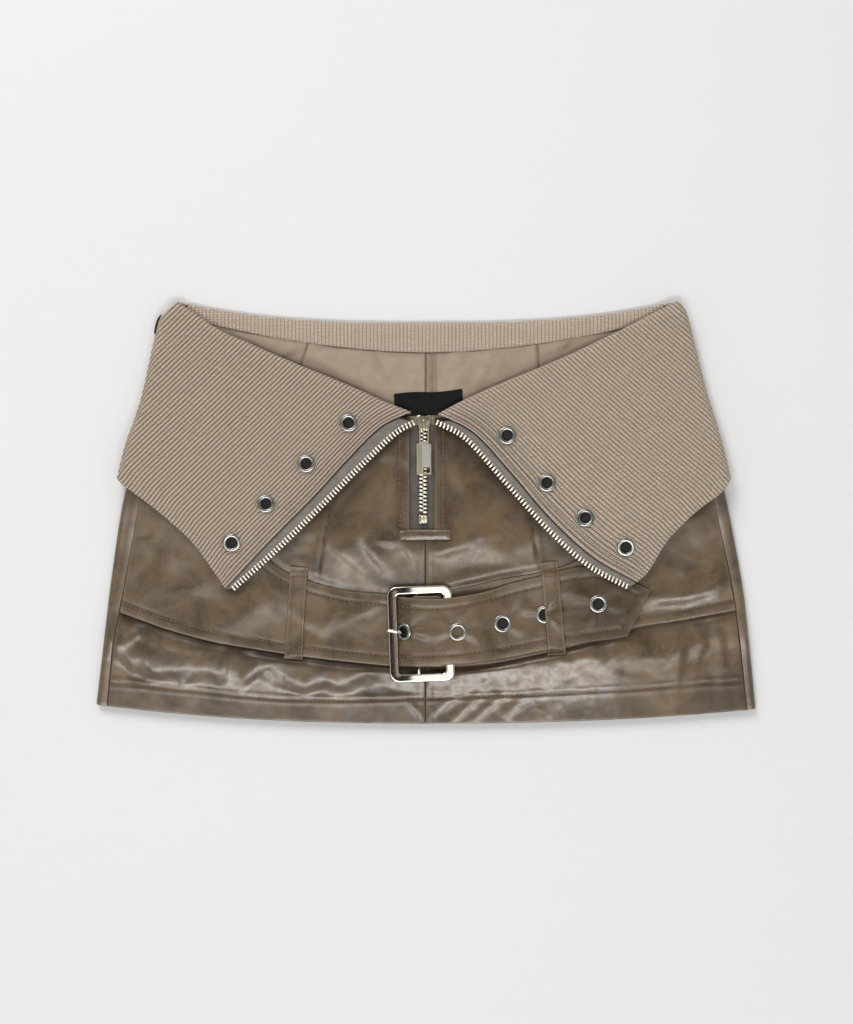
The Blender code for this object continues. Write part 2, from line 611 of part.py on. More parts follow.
def lapel(word, points, zip_edge, side_edge, eyelets):
    """Outer front of the collar, turned down over the fold, with its eyelets."""
    fold = [(row.fold_x, row.fold_y) for row in points]
    end = [(row.free_x, row.free_y) for row in points]
    inset = RIB / 2
    side_radius = (FLAP_MID + RIB + GAP - HANGING_MID) / 2
    fold_radius = (FLAP_MID + FOLD_ROLL - UNDER_MID) / 2
    fold[-1] = inwards(fold[-1:], inset)[0]
    end[-1] = inwards(end[-1:], inset)[0]
    fold = [(x, y - inset) for x, y in fold]
    last = inwards(side_edge, inset)
    last[0] = fold[-1]
    grid = patch(fold, end, below_fold(zip_edge), last, flap_height, 11, 10,
                 (fold_radius, 0, 0, side_radius))
    flap = wall("collar_" + word, grid, RIB, "rib")
    for number, eye in enumerate(eyelets, 1):
        add_eyelet("eyelet_%s_%d" % (word, number), flap, eye, flap_height, RIB)
    return flap


def under_layer(word, points):
    """Inner front of the collar, from the waist seam up to the fold."""
    waist = Section(*SKIRT[0])
    fold, seam = [], []
    for row in points:
        x = math.copysign(min(max(abs(row.fold_x), UNDER_FROM), UNDER_TO), row.fold_x)
        y = min(max(row.fold_y, UNDER_LOW_Y), UNDER_HIGH_Y) - RIB / 2
        fold.append((x, y))
        seam.append((x, float(skirt_row(waist, x, waist.front_y, waist.front_bow))
                     + GAP + WAIST_SEAM))
    seam[0] = (seam[0][0], min(seam[0][1], fold[0][1] - 2.0))
    radius = (FLAP_MID + FOLD_ROLL - UNDER_MID) / 2
    grid = patch(fold, seam, [fold[0], seam[0]], [fold[-1], seam[-1]], under_height, 3, 10,
                 (radius * 0.75, 0, 0, 0), turn=-1.0)
    return wall("collar_under_" + word, grid, RIB, "rib")


def inside_strip():
    """Inside of the collar's back, seen between the waist seam and the top fold."""
    waist = Section(*SKIRT[0])
    x = np.linspace(-INSIDE_HALF, INSIDE_HALF, 15)
    top = np.stack([x, top_y(x) - RIB / 2], 1)
    seam = np.stack([x, skirt_row(waist, x, waist.back_y, waist.back_bow) + GAP + WAIST_SEAM],
                    1)
    radius = (INSIDE_MID - HANGING_MID + RIB + GAP) / 2

    def height(px, py):
        return INSIDE_MID + RIB + GAP + 0 * px

    grid = patch(top, seam, [top[0], seam[0]], [top[-1], seam[-1]], height, 3, 15,
                 (radius, 0, 0, 0))
    return wall("collar_inside", grid, BACK_RIB, "rib")


def hanging_back():
    """Back of the collar, hanging behind the skirt and touching the surface."""
    inset = RIB / 2
    x = np.linspace(TOP_LEFT, TOP_RIGHT, 15)
    top = np.stack([x, top_y(x) - inset], 1)
    end_x = np.linspace(LEFT_SIDE[-1][0] + inset, RIGHT_SIDE[-1][0] - inset, 15)
    edge = HANG_CENTRE_Y + (HANG_SIDE_Y - HANG_CENTRE_Y) * (np.abs(end_x) / HANG_HALF) ** 2
    free = np.stack([end_x, edge], 1)
    left, right = inwards(LEFT_SIDE, inset), inwards(RIGHT_SIDE, inset)
    left[0], right[0] = tuple(top[0]), tuple(top[-1])
    left[-1], right[-1] = tuple(free[0]), tuple(free[-1])
    side_radius = (FLAP_MID + RIB + GAP - HANGING_MID) / 2
    top_radius = (INSIDE_MID - HANGING_MID + RIB + GAP) / 2

    def height(px, py):
        return HANGING_MID + 0 * px

    grid = patch(top, free, left, right, height, 4, 15,
                 (top_radius, 0, side_radius, side_radius), turn=-1.0)
    return wall("collar_back", grid, BACK_RIB, "rib")


def zip_side(word, zip_edge, teeth):
    """Tape and open row of teeth along one lapel."""
    sign = -1 if word == "left" else 1

    def height(x, y):
        near_slider = ease(np.hypot(x - ZIP_X, y - SLIDER_Y) / 28.0)
        flap = flap_height(x, y)
        return CHAIN_START_MID + (flap - CHAIN_START_MID) * near_slider

    line = through(teeth, np.linspace(0, 1, 13))
    way = np.gradient(line, axis=0)
    side = np.stack([way[:, 1], -way[:, 0]], 1) / np.linalg.norm(way, axis=1)[:, None]
    to_edge = side if sign < 0 else -side
    edge = through(below_fold(zip_edge), np.linspace(0.07, 1, 13))
    if np.dot(to_edge[6], edge[6] - line[6]) < 0:
        to_edge = -to_edge
    outer = edge + (line - edge) / np.linalg.norm(line - edge, axis=1)[:, None] * 3 * GAP
    inner = line + to_edge * (CHAIN_HALF + GAP)
    grid = patch(outer, inner, [outer[0], inner[0]], [outer[-1], inner[-1]], height, 3, 13)
    wall("zip_tape_" + word, grid, TAPE, "tape")
    strip("zip_chain_" + word, teeth, CHAIN_HALF, height, CHAIN_THICK, "teeth", 13)


def side_tab():
    """Small dark loop that peeks out of the left side of the collar."""
    shares = np.linspace(TAB_FROM, TAB_TO, 4)
    edge = through(LEFT_SIDE, shares)
    inner = [(x - GAP, y) for x, y in edge]
    outer = [(x - GAP - TAB_OUT, y) for x, y in edge]
    prism("side_tab", outer + inner[::-1], TAB_LOW, TAB_HIGH, "brown")


def collar():
    lapel("left", LEFT_LAPEL, LEFT_ZIP_EDGE, LEFT_SIDE, LEFT_EYELETS)
    lapel("right", RIGHT_LAPEL, RIGHT_ZIP_EDGE, RIGHT_SIDE, RIGHT_EYELETS)
    under_layer("left", LEFT_LAPEL)
    under_layer("right", RIGHT_LAPEL)
    inside_strip()
    hanging_back()
    zip_side("left", LEFT_ZIP_EDGE, LEFT_TEETH)
    zip_side("right", RIGHT_ZIP_EDGE, RIGHT_TEETH)
    side_tab()


def add_eyelet(name, cloth, eye, height, thickness):
    """Metal ring with a flange on both faces, in a hole punched through the cloth."""
    half = thickness / 2
    place = upright_at(eye.x, eye.y, height)
    low, high = -half - EYELET_CLEAR, half + EYELET_CLEAR
    profile = [(HOLE_R, low - FLANGE), (BACK_R, low - FLANGE), (BACK_R, low),
               (BARREL_R, low), (BARREL_R, high), (FLANGE_R, high),
               (FLANGE_R - FLANGE_BEVEL, high + FLANGE), (HOLE_R, high + FLANGE)]
    turned(name, profile, EYELET_SIDES, place, "metal")
    reach = half + 2.0
    r = BARREL_R + GAP
    punch = turned_solid(name + "_punch", r, reach, place)
    combine(cloth, punch, "DIFFERENCE")


def turned_solid(name, radius, reach, place):
    """Plain cylinder used as a punch or a bar."""
    angles = [2 * math.pi * k / EYELET_SIDES for k in range(EYELET_SIDES)]
    ring = [(radius * math.cos(a), radius * math.sin(a)) for a in angles]
    vertices = [place @ Vector((x, y, z)) for z in (-reach, reach) for x, y in ring]
    n = EYELET_SIDES
    faces = [list(range(n))[::-1], list(range(n, 2 * n))]
    faces += [[k, (k + 1) % n, (k + 1) % n + n, k + n] for k in range(n)]
    return add_object(name, vertices, faces, "metal")


# ---------------------------------------------------------------- hip bands, strap, belt loops

def left_band_height(x, y):
    """Left band on the front, then the strap over the buckle's bars and the right band."""
    lean = (np.asarray(y) - BUCKLE_AT[1]) * math.tan(math.radians(BUCKLE_TURN))
    rise = np.interp(x + lean, [stop.x for stop in STRAP_RISE],
                     [stop.height for stop in STRAP_RISE])
    return front_height(x, y) + BAND_ON_FRONT + rise


def right_band_height(x, y):
    return front_height(x, y) + BAND_ON_FRONT


def crossways(lines, rows):
    """Plan of a band: lines across it from its top edge to its bottom edge."""
    share = np.linspace(0, 1, rows)[:, None, None]
    return lines[None, :, :2] * (1 - share) + lines[None, :, 2:] * share


def left_band():
    """Left hip band and belt strap, one long piece with its eyelets."""
    fine = through(LEFT_BAND, np.linspace(0, 1, 200))
    lean = math.tan(math.radians(BUCKLE_TURN))
    stops = []
    for stop in STRAP_COLUMNS:
        top_x = stop + (BUCKLE_AT[1] + 59.0) * lean
        low_x = stop + (BUCKLE_AT[1] + 106.0) * lean
        stops.append((top_x, np.interp(top_x, fine[:, 0], fine[:, 1]),
                      low_x, np.interp(low_x, fine[:, 2], fine[:, 3])))
    hip = through(LEFT_BAND, np.linspace(0.0, 0.38, 8))
    tip = through(LEFT_BAND, np.linspace(0.87, 1.0, 5))
    plan = crossways(np.concatenate([hip, np.array(stops), tip]), 8)
    plan[:, 0, 0] += GAP
    height = left_band_height(plan[..., 0], plan[..., 1])
    strap = wall("hip_band_left", np.dstack([plan[..., 0], plan[..., 1], height]), BAND,
                 "leather")
    for number, eye in enumerate(STRAP_EYELETS, 1):
        add_eyelet("strap_eyelet_%d" % number, strap, eye, left_band_height, BAND)


def right_band():
    """Right hip band; its end is wrapped around the centre bar, with a slot for the prong."""
    plan = crossways(through(RIGHT_BAND, np.linspace(0, 1, 14)), 8)
    plan[:, 0, 0] -= 1.0
    x, y = plan[..., 0], plan[..., 1]
    flat = np.dstack([x, y, right_band_height(x, y)])
    lean = math.tan(math.radians(BUCKLE_TURN))
    end_y = plan[:, -1, 1]
    bar_x = BUCKLE_AT[0] + CENTRE_BAR_X - (end_y - BUCKLE_AT[1]) * lean
    wrap = []
    for angle in (-90, -125, -160, 160, 125, 90):
        bend = math.radians(angle)
        wrap.append(np.stack([bar_x + WRAP_R * math.cos(bend), end_y,
                              CENTRE_BAR_MID + WRAP_R * math.sin(bend) + 0 * bar_x], 1))
    end = wrap[-1] + np.array([[WRAP_BACK, 0.0, 0.0]])
    grid = np.concatenate([flat, np.stack(wrap + [end], 1)], axis=1)
    band = wall("hip_band_right", grid, BAND, "leather")
    bar_x = BUCKLE_AT[0] + CENTRE_BAR_X
    slot = block("prong_slot", bar_x + PRONG_SLOT_LEFT, bar_x + PRONG_SLOT_RIGHT,
                 PRONG_EYE_Y - PRONG_SLOT_HALF, PRONG_EYE_Y + PRONG_SLOT_HALF, *CUTTER_SPAN,
                 "leather")
    combine(band, slot, "DIFFERENCE")


def belt_loops():
    for loop in LOOPS:
        strap_is_under = loop.top_x > 0

        def height(x, y):
            if strap_is_under:
                below = left_band_height(x, y) + FLANGE + GAP
            else:
                below = right_band_height(x, y)
            return below + BAND / 2 + GAP + LOOP_THICK / 2

        path = straight((loop.top_x, loop.top_y), (loop.bottom_x, loop.bottom_y), 9)
        strip(loop.name, path, LOOP_WIDTH / 2, height, LOOP_THICK, "leather", 9,
              (1.9, 1.2))


# ---------------------------------------------------------------- buckle

def rounded(width, height, radius, steps=5):
    """Outline of a rectangle with round corners, anticlockwise."""
    outline = []
    corners = ((1, 1, 0), (-1, 1, 90), (-1, -1, 180), (1, -1, 270))
    for sign_x, sign_y, start in corners:
        for k in range(steps):
            angle = math.radians(start + 90 * k / (steps - 1))
            outline.append((sign_x * (width / 2 - radius) + radius * math.cos(angle),
                            sign_y * (height / 2 - radius) + radius * math.sin(angle)))
    return outline


def buckle():
    """Rounded frame with a centre bar, and a prong that pivots on that bar."""
    place = (Matrix.Translation((*BUCKLE_AT, BUCKLE_MID))
             @ Matrix.Rotation(math.radians(BUCKLE_TURN), 4, "Z"))
    half, edge = BUCKLE_THICK / 2, BUCKLE_EDGE
    layers = [(0.0, -half + edge), (0.0, half - edge), (edge, half)]
    rings = [[(x, y, z) for x, y in rounded(BUCKLE_WIDTH - 2 * inset, BUCKLE_HEIGHT - 2 * inset,
                                            BUCKLE_CORNER - inset)]
             for inset, z in layers]
    hole_layers = [(edge, half), (0.0, half - edge), (0.0, -half + edge), (edge, -half)]
    rings += [[(x, y, z) for x, y in rounded(BUCKLE_WIDTH - 2 * SIDE_BAR + 2 * grow,
                                             BUCKLE_HEIGHT - 2 * ARM_BAR + 2 * grow,
                                             BUCKLE_INNER_CORNER + grow)]
              for grow, z in hole_layers]
    rings.append([(x, y, -half) for x, y in rounded(BUCKLE_WIDTH - 2 * edge,
                                                    BUCKLE_HEIGHT - 2 * edge,
                                                    BUCKLE_CORNER - edge)])
    count, total = len(rings[0]), len(rings)
    vertices = [place @ Vector(point) for ring in rings for point in ring]
    faces = [[j * count + k, j * count + (k + 1) % count,
              (j + 1) % total * count + (k + 1) % count, (j + 1) % total * count + k]
             for j in range(total) for k in range(count)]
    frame = add_object("buckle_frame", vertices, faces, "metal", smooth=True)
    drop = CENTRE_BAR_MID - BUCKLE_MID
    bar_place = (place @ Matrix.Translation((CENTRE_BAR_X, 0, drop))
                 @ Matrix.Rotation(math.radians(90), 4, "X"))
    bar = turned_solid("centre_bar", CENTRE_BAR_R, BUCKLE_HEIGHT / 2 - ARM_BAR / 2, bar_place)
    combine(frame, bar, "UNION")
    prong(place)


def prong(place):
    """Round prong from a sleeve on the centre bar, up through the eyelet, onto the side bar."""
    along = PRONG_EYE_Y - BUCKLE_AT[1]
    sleeve_place = (place @ Matrix.Translation((CENTRE_BAR_X, along,
                                                CENTRE_BAR_MID - BUCKLE_MID))
                    @ Matrix.Rotation(math.radians(90), 4, "X"))
    inner, half = CENTRE_BAR_R + GAP, SLEEVE_HALF
    outer = inner + SLEEVE_THICK
    sleeve = turned("buckle_prong", [(inner, -half), (outer, -half), (outer, half),
                                     (inner, half)], 14, sleeve_place, "metal")
    bar_x = BUCKLE_AT[0] + CENTRE_BAR_X
    top = BUCKLE_MID + BUCKLE_THICK / 2 + GAP + PRONG_R
    low = CENTRE_BAR_MID
    path = [(bar_x - 2.0, low - 0.1), (-12.0, low - 0.6), (-15.4, low + 1.1),
            (-18.6, top - 0.9), (-21.5, top + 0.3), (PRONG_TIP_X, top + 0.1)]
    sides = 10
    vertices = []
    for number, (x, z) in enumerate(path):
        radius = PRONG_R if number < len(path) - 1 else PRONG_R * 0.7
        before, after = path[max(number - 1, 0)], path[min(number + 1, len(path) - 1)]
        way = Vector((after[0] - before[0], 0, after[1] - before[1])).normalized()
        up = Vector((way.z, 0, -way.x))
        for k in range(sides):
            angle = 2 * math.pi * k / sides
            vertices.append(Vector((x, PRONG_EYE_Y, z)) + up * radius * math.cos(angle)
                            + Vector((0, radius * math.sin(angle), 0)))
    faces = [[k for k in range(sides)][::-1],
             [(len(path) - 1) * sides + k for k in range(sides)]]
    faces += [[j * sides + k, j * sides + (k + 1) % sides, (j + 1) * sides + (k + 1) % sides,
               (j + 1) * sides + k] for j in range(len(path) - 1) for k in range(sides)]
    pin = add_object("prong_pin", vertices, faces, "metal")
    combine(sleeve, pin, "UNION")


# ---------------------------------------------------------------- closed zip

def closed_zip():
    """Tape, closed teeth, bottom stop, slider, pull tab, welt and label at the centre front."""
    tape_low = SHORTS_FRONT_MID + RIB + GAP - SHORTS / 2
    tape_top = tape_low + TAPE
    block("zip_tape_closed", ZIP_X - ZIP_TAPE_HALF, ZIP_X + ZIP_TAPE_HALF, ZIP_TAPE_BOTTOM,
          ZIP_TAPE_TOP, tape_low, tape_top, "tape")
    base = tape_top + GAP
    slider_low = SLIDER_Y - SLIDER_LENGTH / 2
    block("zip_chain_closed", ZIP_X - CHAIN_CLOSED_HALF, ZIP_X + CHAIN_CLOSED_HALF,
          STOP_TOP + GAP, slider_low - GAP, base, base + CHAIN_CLOSED_THICK, "teeth")
    block("zip_stop", ZIP_X - STOP_HALF, ZIP_X + STOP_HALF, STOP_BOTTOM, STOP_TOP,
          base, base + STOP_THICK, "teeth")
    slider(base)
    pull_tab(base + SLIDER_HEIGHT)

    def welt_height(x, y):
        return front_height(x, y) + LEATHER / 2 + GAP + LEATHER / 2

    path = straight((WELT_LEFT, (WELT_TOP + WELT_BOTTOM) / 2),
                    (WELT_RIGHT, (WELT_TOP + WELT_BOTTOM) / 2 + 0.4), 7)
    strip("zip_welt", path, (WELT_TOP - WELT_BOTTOM) / 2, welt_height, LEATHER, "leather", 7)

    def label_height(x, y):
        return shorts_back_height(x, y) + SHORTS / 2 + GAP + LABEL / 2

    grid = patch(LABEL_TOP, LABEL_BOTTOM, [LABEL_TOP[0], LABEL_BOTTOM[0]],
                 [LABEL_TOP[1], LABEL_BOTTOM[1]], label_height, 3, 5)
    wall("label", grid, LABEL, "black")


def slider(base):
    """Shield-shaped slider with an arched bail on top."""
    half, long = SLIDER_WIDTH / 2, SLIDER_LENGTH / 2
    shape = [(-0.55, -1.0), (0.55, -1.0), (0.8, -0.2), (1.0, 0.65), (0.7, 1.0), (-0.7, 1.0),
             (-1.0, 0.65), (-0.8, -0.2)]
    outline = [(SLIDER_X + half * sx, SLIDER_Y + long * sy) for sx, sy in shape]
    body = prism("zip_slider", outline, base, base + SLIDER_HEIGHT, "metal")
    top = base + SLIDER_HEIGHT
    low, high = BAIL_Y - BAIL_LENGTH / 2, BAIL_Y + BAIL_LENGTH / 2
    bail = block("bail", SLIDER_X - BAIL_WIDTH / 2, SLIDER_X + BAIL_WIDTH / 2, low, high,
                 top - 0.5, top + BAIL_HEIGHT, "metal")
    hole = block("bail_hole", SLIDER_X - BAIL_WIDTH, SLIDER_X + BAIL_WIDTH, low + BAIL_BAR,
                 high - BAIL_BAR, top, top + BAIL_HEIGHT - BAIL_BAR, "metal")
    combine(body, bail, "UNION")
    combine(body, hole, "DIFFERENCE")


def pull_tab(slider_top):
    """Pull tab hung in the bail, its origin on the hinge axis."""
    hinge = Vector((SLIDER_X, PULL_HINGE_Y, slider_top + PULL_HINGE_RISE))
    neck, plate, half = PULL_NECK / 2, PULL_PLATE / 2, PULL_THICK / 2
    neck_end, end = PULL_NECK_END - PULL_HINGE_Y, PULL_END - PULL_HINGE_Y
    outline = [(-neck, 0.6), (-neck, neck_end), (-plate, neck_end - 0.4), (-plate, end + 0.8),
               (-plate + 0.8, end), (plate - 0.8, end), (plate, end + 0.8),
               (plate, neck_end - 0.4), (neck, neck_end), (neck, 0.6)]
    pull = prism("pull_tab", outline, -half, half, "metal")
    window = block("pull_window", -neck + 1.0, neck - 1.0, neck_end + 1.4, -0.6, -2, 2, "metal")
    slot = block("pull_slot", -0.4, plate - 1.0, end + 1.3, end + 5.0, -2, 2, "metal")
    combine(pull, window, "DIFFERENCE")
    combine(pull, slot, "DIFFERENCE")
    hinge_axis = bpy.data.objects.new("pull_hinge", None)
    bpy.context.scene.collection.objects.link(hinge_axis)
    hinge_axis.location = hinge * MM
    hinge_axis.rotation_euler = (math.radians(PULL_TILT), 0, 0)
    for piece in (pull, window, slot):
        piece.parent = hinge_axis


def build():
    for old in list(bpy.data.objects):
        bpy.data.objects.remove(old, do_unlink=True)
    skirt_and_shorts()
    collar()
    left_band()
    right_band()
    belt_loops()
    buckle()
    closed_zip()
    bpy.context.view_layer.update()


build()
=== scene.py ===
import math

import bpy
import numpy as np
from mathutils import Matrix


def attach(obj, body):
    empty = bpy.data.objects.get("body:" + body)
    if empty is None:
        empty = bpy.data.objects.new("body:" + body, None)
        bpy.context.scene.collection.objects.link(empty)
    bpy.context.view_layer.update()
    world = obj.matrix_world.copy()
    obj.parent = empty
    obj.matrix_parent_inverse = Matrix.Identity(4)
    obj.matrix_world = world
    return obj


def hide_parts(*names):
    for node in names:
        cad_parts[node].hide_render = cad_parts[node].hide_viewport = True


# A short leather skort with a wide rib-knit collar, laid flat on its back with its front up.
# Shapes are worked out in millimetres and put into meshes in metres.
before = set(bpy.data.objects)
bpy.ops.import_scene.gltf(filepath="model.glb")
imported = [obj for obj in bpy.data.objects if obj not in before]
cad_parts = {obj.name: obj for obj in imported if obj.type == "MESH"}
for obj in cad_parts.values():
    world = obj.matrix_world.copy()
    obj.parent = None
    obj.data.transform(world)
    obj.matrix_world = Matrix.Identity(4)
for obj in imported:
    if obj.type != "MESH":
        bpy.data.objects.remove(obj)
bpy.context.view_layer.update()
mm = 0.001
print("CAD frame loaded")


# curves and fields

def ease(value):
    # smooth step from 0 to 1
    clipped = np.clip(value, 0.0, 1.0)
    return clipped * clipped * (3.0 - 2.0 * clipped)


def bell(value):
    # e to the minus value squared
    return np.exp(-np.square(value))


def through(rows, shares):
    # smooth curve through evenly spaced rows, read at shares from 0 to 1
    table = np.asarray(rows, dtype=float)
    last = len(table) - 1
    place = np.clip(np.asarray(shares, dtype=float), 0.0, 1.0) * last
    index = np.minimum(place.astype(int), last - 1)
    part = (place - index)[:, None]
    before, after = np.maximum(index - 1, 0), np.minimum(index + 2, last)
    slopeA = (table[index + 1] - table[before]) / (index + 1 - before)[:, None]
    slopeB = (table[after] - table[index]) / (after - index)[:, None]
    squared, cubed = part ** 2, part ** 3
    return ((2 * cubed - 3 * squared + 1) * table[index] + (cubed - 2 * squared + part) * slopeA
            + (3 * squared - 2 * cubed) * table[index + 1] + (cubed - squared) * slopeB)


def lengths(line):
    # length along a line at each of its points
    steps = np.linalg.norm(np.diff(line, axis=0), axis=1)
    return np.concatenate([[0.0], np.cumsum(steps)])


def readLine(line, run, at):
    # points of a line at given places, where run holds the place of each of its own points
    return np.stack([np.interp(at, run, column) for column in np.transpose(line)], 1)


def byLength(points, count):
    # smooth curve through points, read at even steps of its length
    fine = through(points, np.linspace(0, 1, 500))
    run = lengths(fine)
    return readLine(fine, run, np.linspace(0, run[-1], count))


def unit(vectors):
    # vectors brought to length 1
    return vectors / np.linalg.norm(vectors, axis=-1, keepdims=True)


def spaced(length, step, first=True, last=True):
    # places from 0 to length at even steps, with a few more close to the ends
    places = np.linspace(0, length, max(int(round(length / step)), 2) + 1)
    near = np.array([0.12, 0.35, 0.75])
    if first:
        places = np.concatenate([[0.0], near, places[places > 0.95]])
    if last:
        places = np.concatenate([places[places < length - 0.95], length - near[::-1], [length]])
    return places


def sharesOf(length, step, first=True, last=True):
    # the same places as shares of a length, which need only be about the cloth's own
    return spaced(length, step, first, last) / length


def lattice(x, y, size, seed):
    # random heights from -1 to 1 on a grid of the given size, eased between its points
    heights = np.random.default_rng(seed).uniform(-1, 1, (61, 67))
    gx, gy = x / size + 500.0, y / size + 500.0
    ix, iy = np.floor(gx).astype(int), np.floor(gy).astype(int)
    fx, fy = ease(gx - ix), ease(gy - iy)
    a, b = ix % 61, iy % 67
    c, d = (ix + 1) % 61, (iy + 1) % 67
    return ((1 - fx) * (1 - fy) * heights[a, b] + fx * (1 - fy) * heights[c, b]
            + (1 - fx) * fy * heights[a, d] + fx * fy * heights[c, d])


def crumple(x, y, size, seed, octaves=3):
    # bent and turned layers of lattice noise, each half the size and half the height
    bentX = x + 0.5 * size * lattice(x, y, size * 1.3, seed + 50)
    bentY = y + 0.5 * size * lattice(x, y, size * 1.3, seed + 51)
    total = 0.0 * x
    for k in range(octaves):
        turn = 0.7 + 1.1 * k
        px = bentX * math.cos(turn) - bentY * math.sin(turn)
        py = bentX * math.sin(turn) + bentY * math.cos(turn)
        total = total + lattice(px, py, size / 2 ** k, seed + k) / 2 ** k
    return total


def sharpCreases(x, y, size, seed):
    # 1 along winding lines where the noise passes through zero, falling off on both sides
    return 1.0 - np.minimum(np.abs(crumple(x, y, size, seed, 2)) * 2.2, 1.0)


def ridges(x, y, table):
    # sum of soft folds: a bell along the fold, and across it a bell with its own width each side
    total = 0.0 * x
    for fx, fy, angle, reach, lowSide, highSide, height, bow in table:
        turn = math.radians(angle)
        along = ((x - fx) * math.cos(turn) + (y - fy) * math.sin(turn)) / reach
        across = (y - fy) * math.cos(turn) - (x - fx) * math.sin(turn) - bow * np.clip(along, -2, 2) ** 2
        total = total + height * bell(along) * bell(across / np.where(across < 0, lowSide, highSide))
    return total


def toLine(x, y, line):
    # distance from points to a line of straight pieces, with the direction away from it
    best = np.full(np.shape(x), 1e9)
    wayX, wayY = np.zeros(np.shape(x)), np.zeros(np.shape(x))
    for (ax, ay), (bx, by) in zip(line[:-1], line[1:]):
        dx, dy = bx - ax, by - ay
        share = np.clip(((x - ax) * dx + (y - ay) * dy) / (dx * dx + dy * dy), 0, 1)
        gapX, gapY = x - ax - share * dx, y - ay - share * dy
        gap = np.hypot(gapX, gapY)
        closer = gap < best
        best = np.where(closer, gap, best)
        wayX, wayY = np.where(closer, gapX, wayX), np.where(closer, gapY, wayY)
    return best, wayX / np.maximum(best, 1e-6), wayY / np.maximum(best, 1e-6)


# meshes

def putMesh(name, points, faces, finish, uv=None, values=None, sharp=None):
    # one object from points in millimetres and four-sided faces, with its map and point values
    used, corners = np.unique(faces, return_inverse=True)
    corners = corners.reshape(np.shape(faces))
    points = np.asarray(points, dtype=float)[used]
    mesh = bpy.data.meshes.new(name)
    mesh.vertices.add(len(points))
    mesh.vertices.foreach_set("co", (points * mm).ravel())
    mesh.loops.add(corners.size)
    mesh.loops.foreach_set("vertex_index", corners.ravel())
    mesh.polygons.add(len(corners))
    mesh.polygons.foreach_set("loop_start", np.arange(0, corners.size, 4))
    if uv is not None:
        cloth = mesh.uv_layers.new(name="cloth")
        cloth.data.foreach_set("uv", np.asarray(uv, dtype=float)[used][corners.ravel()].ravel())
    for key, value in (values or {}).items():
        field = mesh.attributes.new(key, "FLOAT", "POINT")
        field.data.foreach_set("value", np.asarray(value, dtype=float)[used])
    mesh.update(calc_edges=True)
    mesh.validate()
    mesh.shade_smooth()
    if sharp:
        mesh.set_sharp_from_angle(angle=math.radians(sharp))
    made = bpy.data.objects.new(name, mesh)
    made.data.materials.append(finish)
    bpy.context.scene.collection.objects.link(made)
    return made


def gridFaces(rows, columns):
    # four-sided faces between the points of a grid
    index = np.arange(rows * columns).reshape(rows, columns)
    return np.stack([index[:-1, :-1], index[:-1, 1:], index[1:, 1:], index[1:, :-1]], -1)


def wallFaces(quads, total):
    # faces of one layer of points, the same turned over on a second layer, and the rim between
    edges = np.concatenate([quads[:, [k, (k + 1) % 4]] for k in range(4)])
    there = edges[:, 0] * total + edges[:, 1]
    free = edges[~np.isin(there, edges[:, 1] * total + edges[:, 0])]
    rim = np.stack([free[:, 1], free[:, 0], free[:, 0] + total, free[:, 1] + total], -1)
    return np.concatenate([quads, quads[:, ::-1] + total, rim])


def barFaces(sides, rings):
    # faces of a bar made of rings of points one after the other, with both ends closed
    a = np.arange(sides)
    b = (a + 1) % sides
    bands = [np.stack([a, b, b + sides, a + sides], 1) + k * sides for k in range(rings - 1)]
    fan = np.array([[0, k, k + 1, k + 2] for k in range(1, sides - 2, 2)])
    return np.concatenate(bands + [fan[:, ::-1], fan + (rings - 1) * sides])


def ringFaces(turns, sides):
    # faces of a closed ring made of sections of points one after the other
    a = np.arange(turns * sides).reshape(turns, sides)
    b = np.roll(a, -1, axis=0)
    return np.stack([a, b, np.roll(b, -1, axis=1), np.roll(a, -1, axis=1)], -1).reshape(-1, 4)


def directions(grid, axis):
    # at each point of a grid, halfway between its two neighbouring steps
    line = np.moveaxis(grid, axis, 0)
    step = np.diff(line, axis=0)
    step = step / np.maximum(np.linalg.norm(step, axis=2, keepdims=True), 1e-9)
    return np.moveaxis(np.concatenate([step[:1], step[:-1] + step[1:], step[-1:]]), 0, axis)


def normals(grid):
    # unit normals of a grid of points, upwards at its middle
    normal = np.cross(directions(grid, 1), directions(grid, 0))
    normal /= np.maximum(np.linalg.norm(normal, axis=2, keepdims=True), 1e-9)
    rows, columns = grid.shape[:2]
    flip = normal[rows // 2, columns // 2, 2] < 0
    return (-normal, True) if flip else (normal, False)


wallEdge = {"least": 0.25, "round": 0.7, "wear": 1.1}


def borderDistance(grid, borders=(1, 1, 1, 1)):
    # length from each point of a grid to its first row, last row, first column and last column
    down = np.linalg.norm(np.diff(grid, axis=0), axis=2)
    over = np.linalg.norm(np.diff(grid, axis=1), axis=2)
    down = np.concatenate([0 * down[:1], np.cumsum(down, axis=0)])
    over = np.concatenate([0 * over[:, :1], np.cumsum(over, axis=1)], axis=1)
    gaps = [down, down[-1:] - down, over, over[:, -1:] - over]
    return np.minimum.reduce([gap if border else gap + 1e3 for gap, border in zip(gaps, borders)])


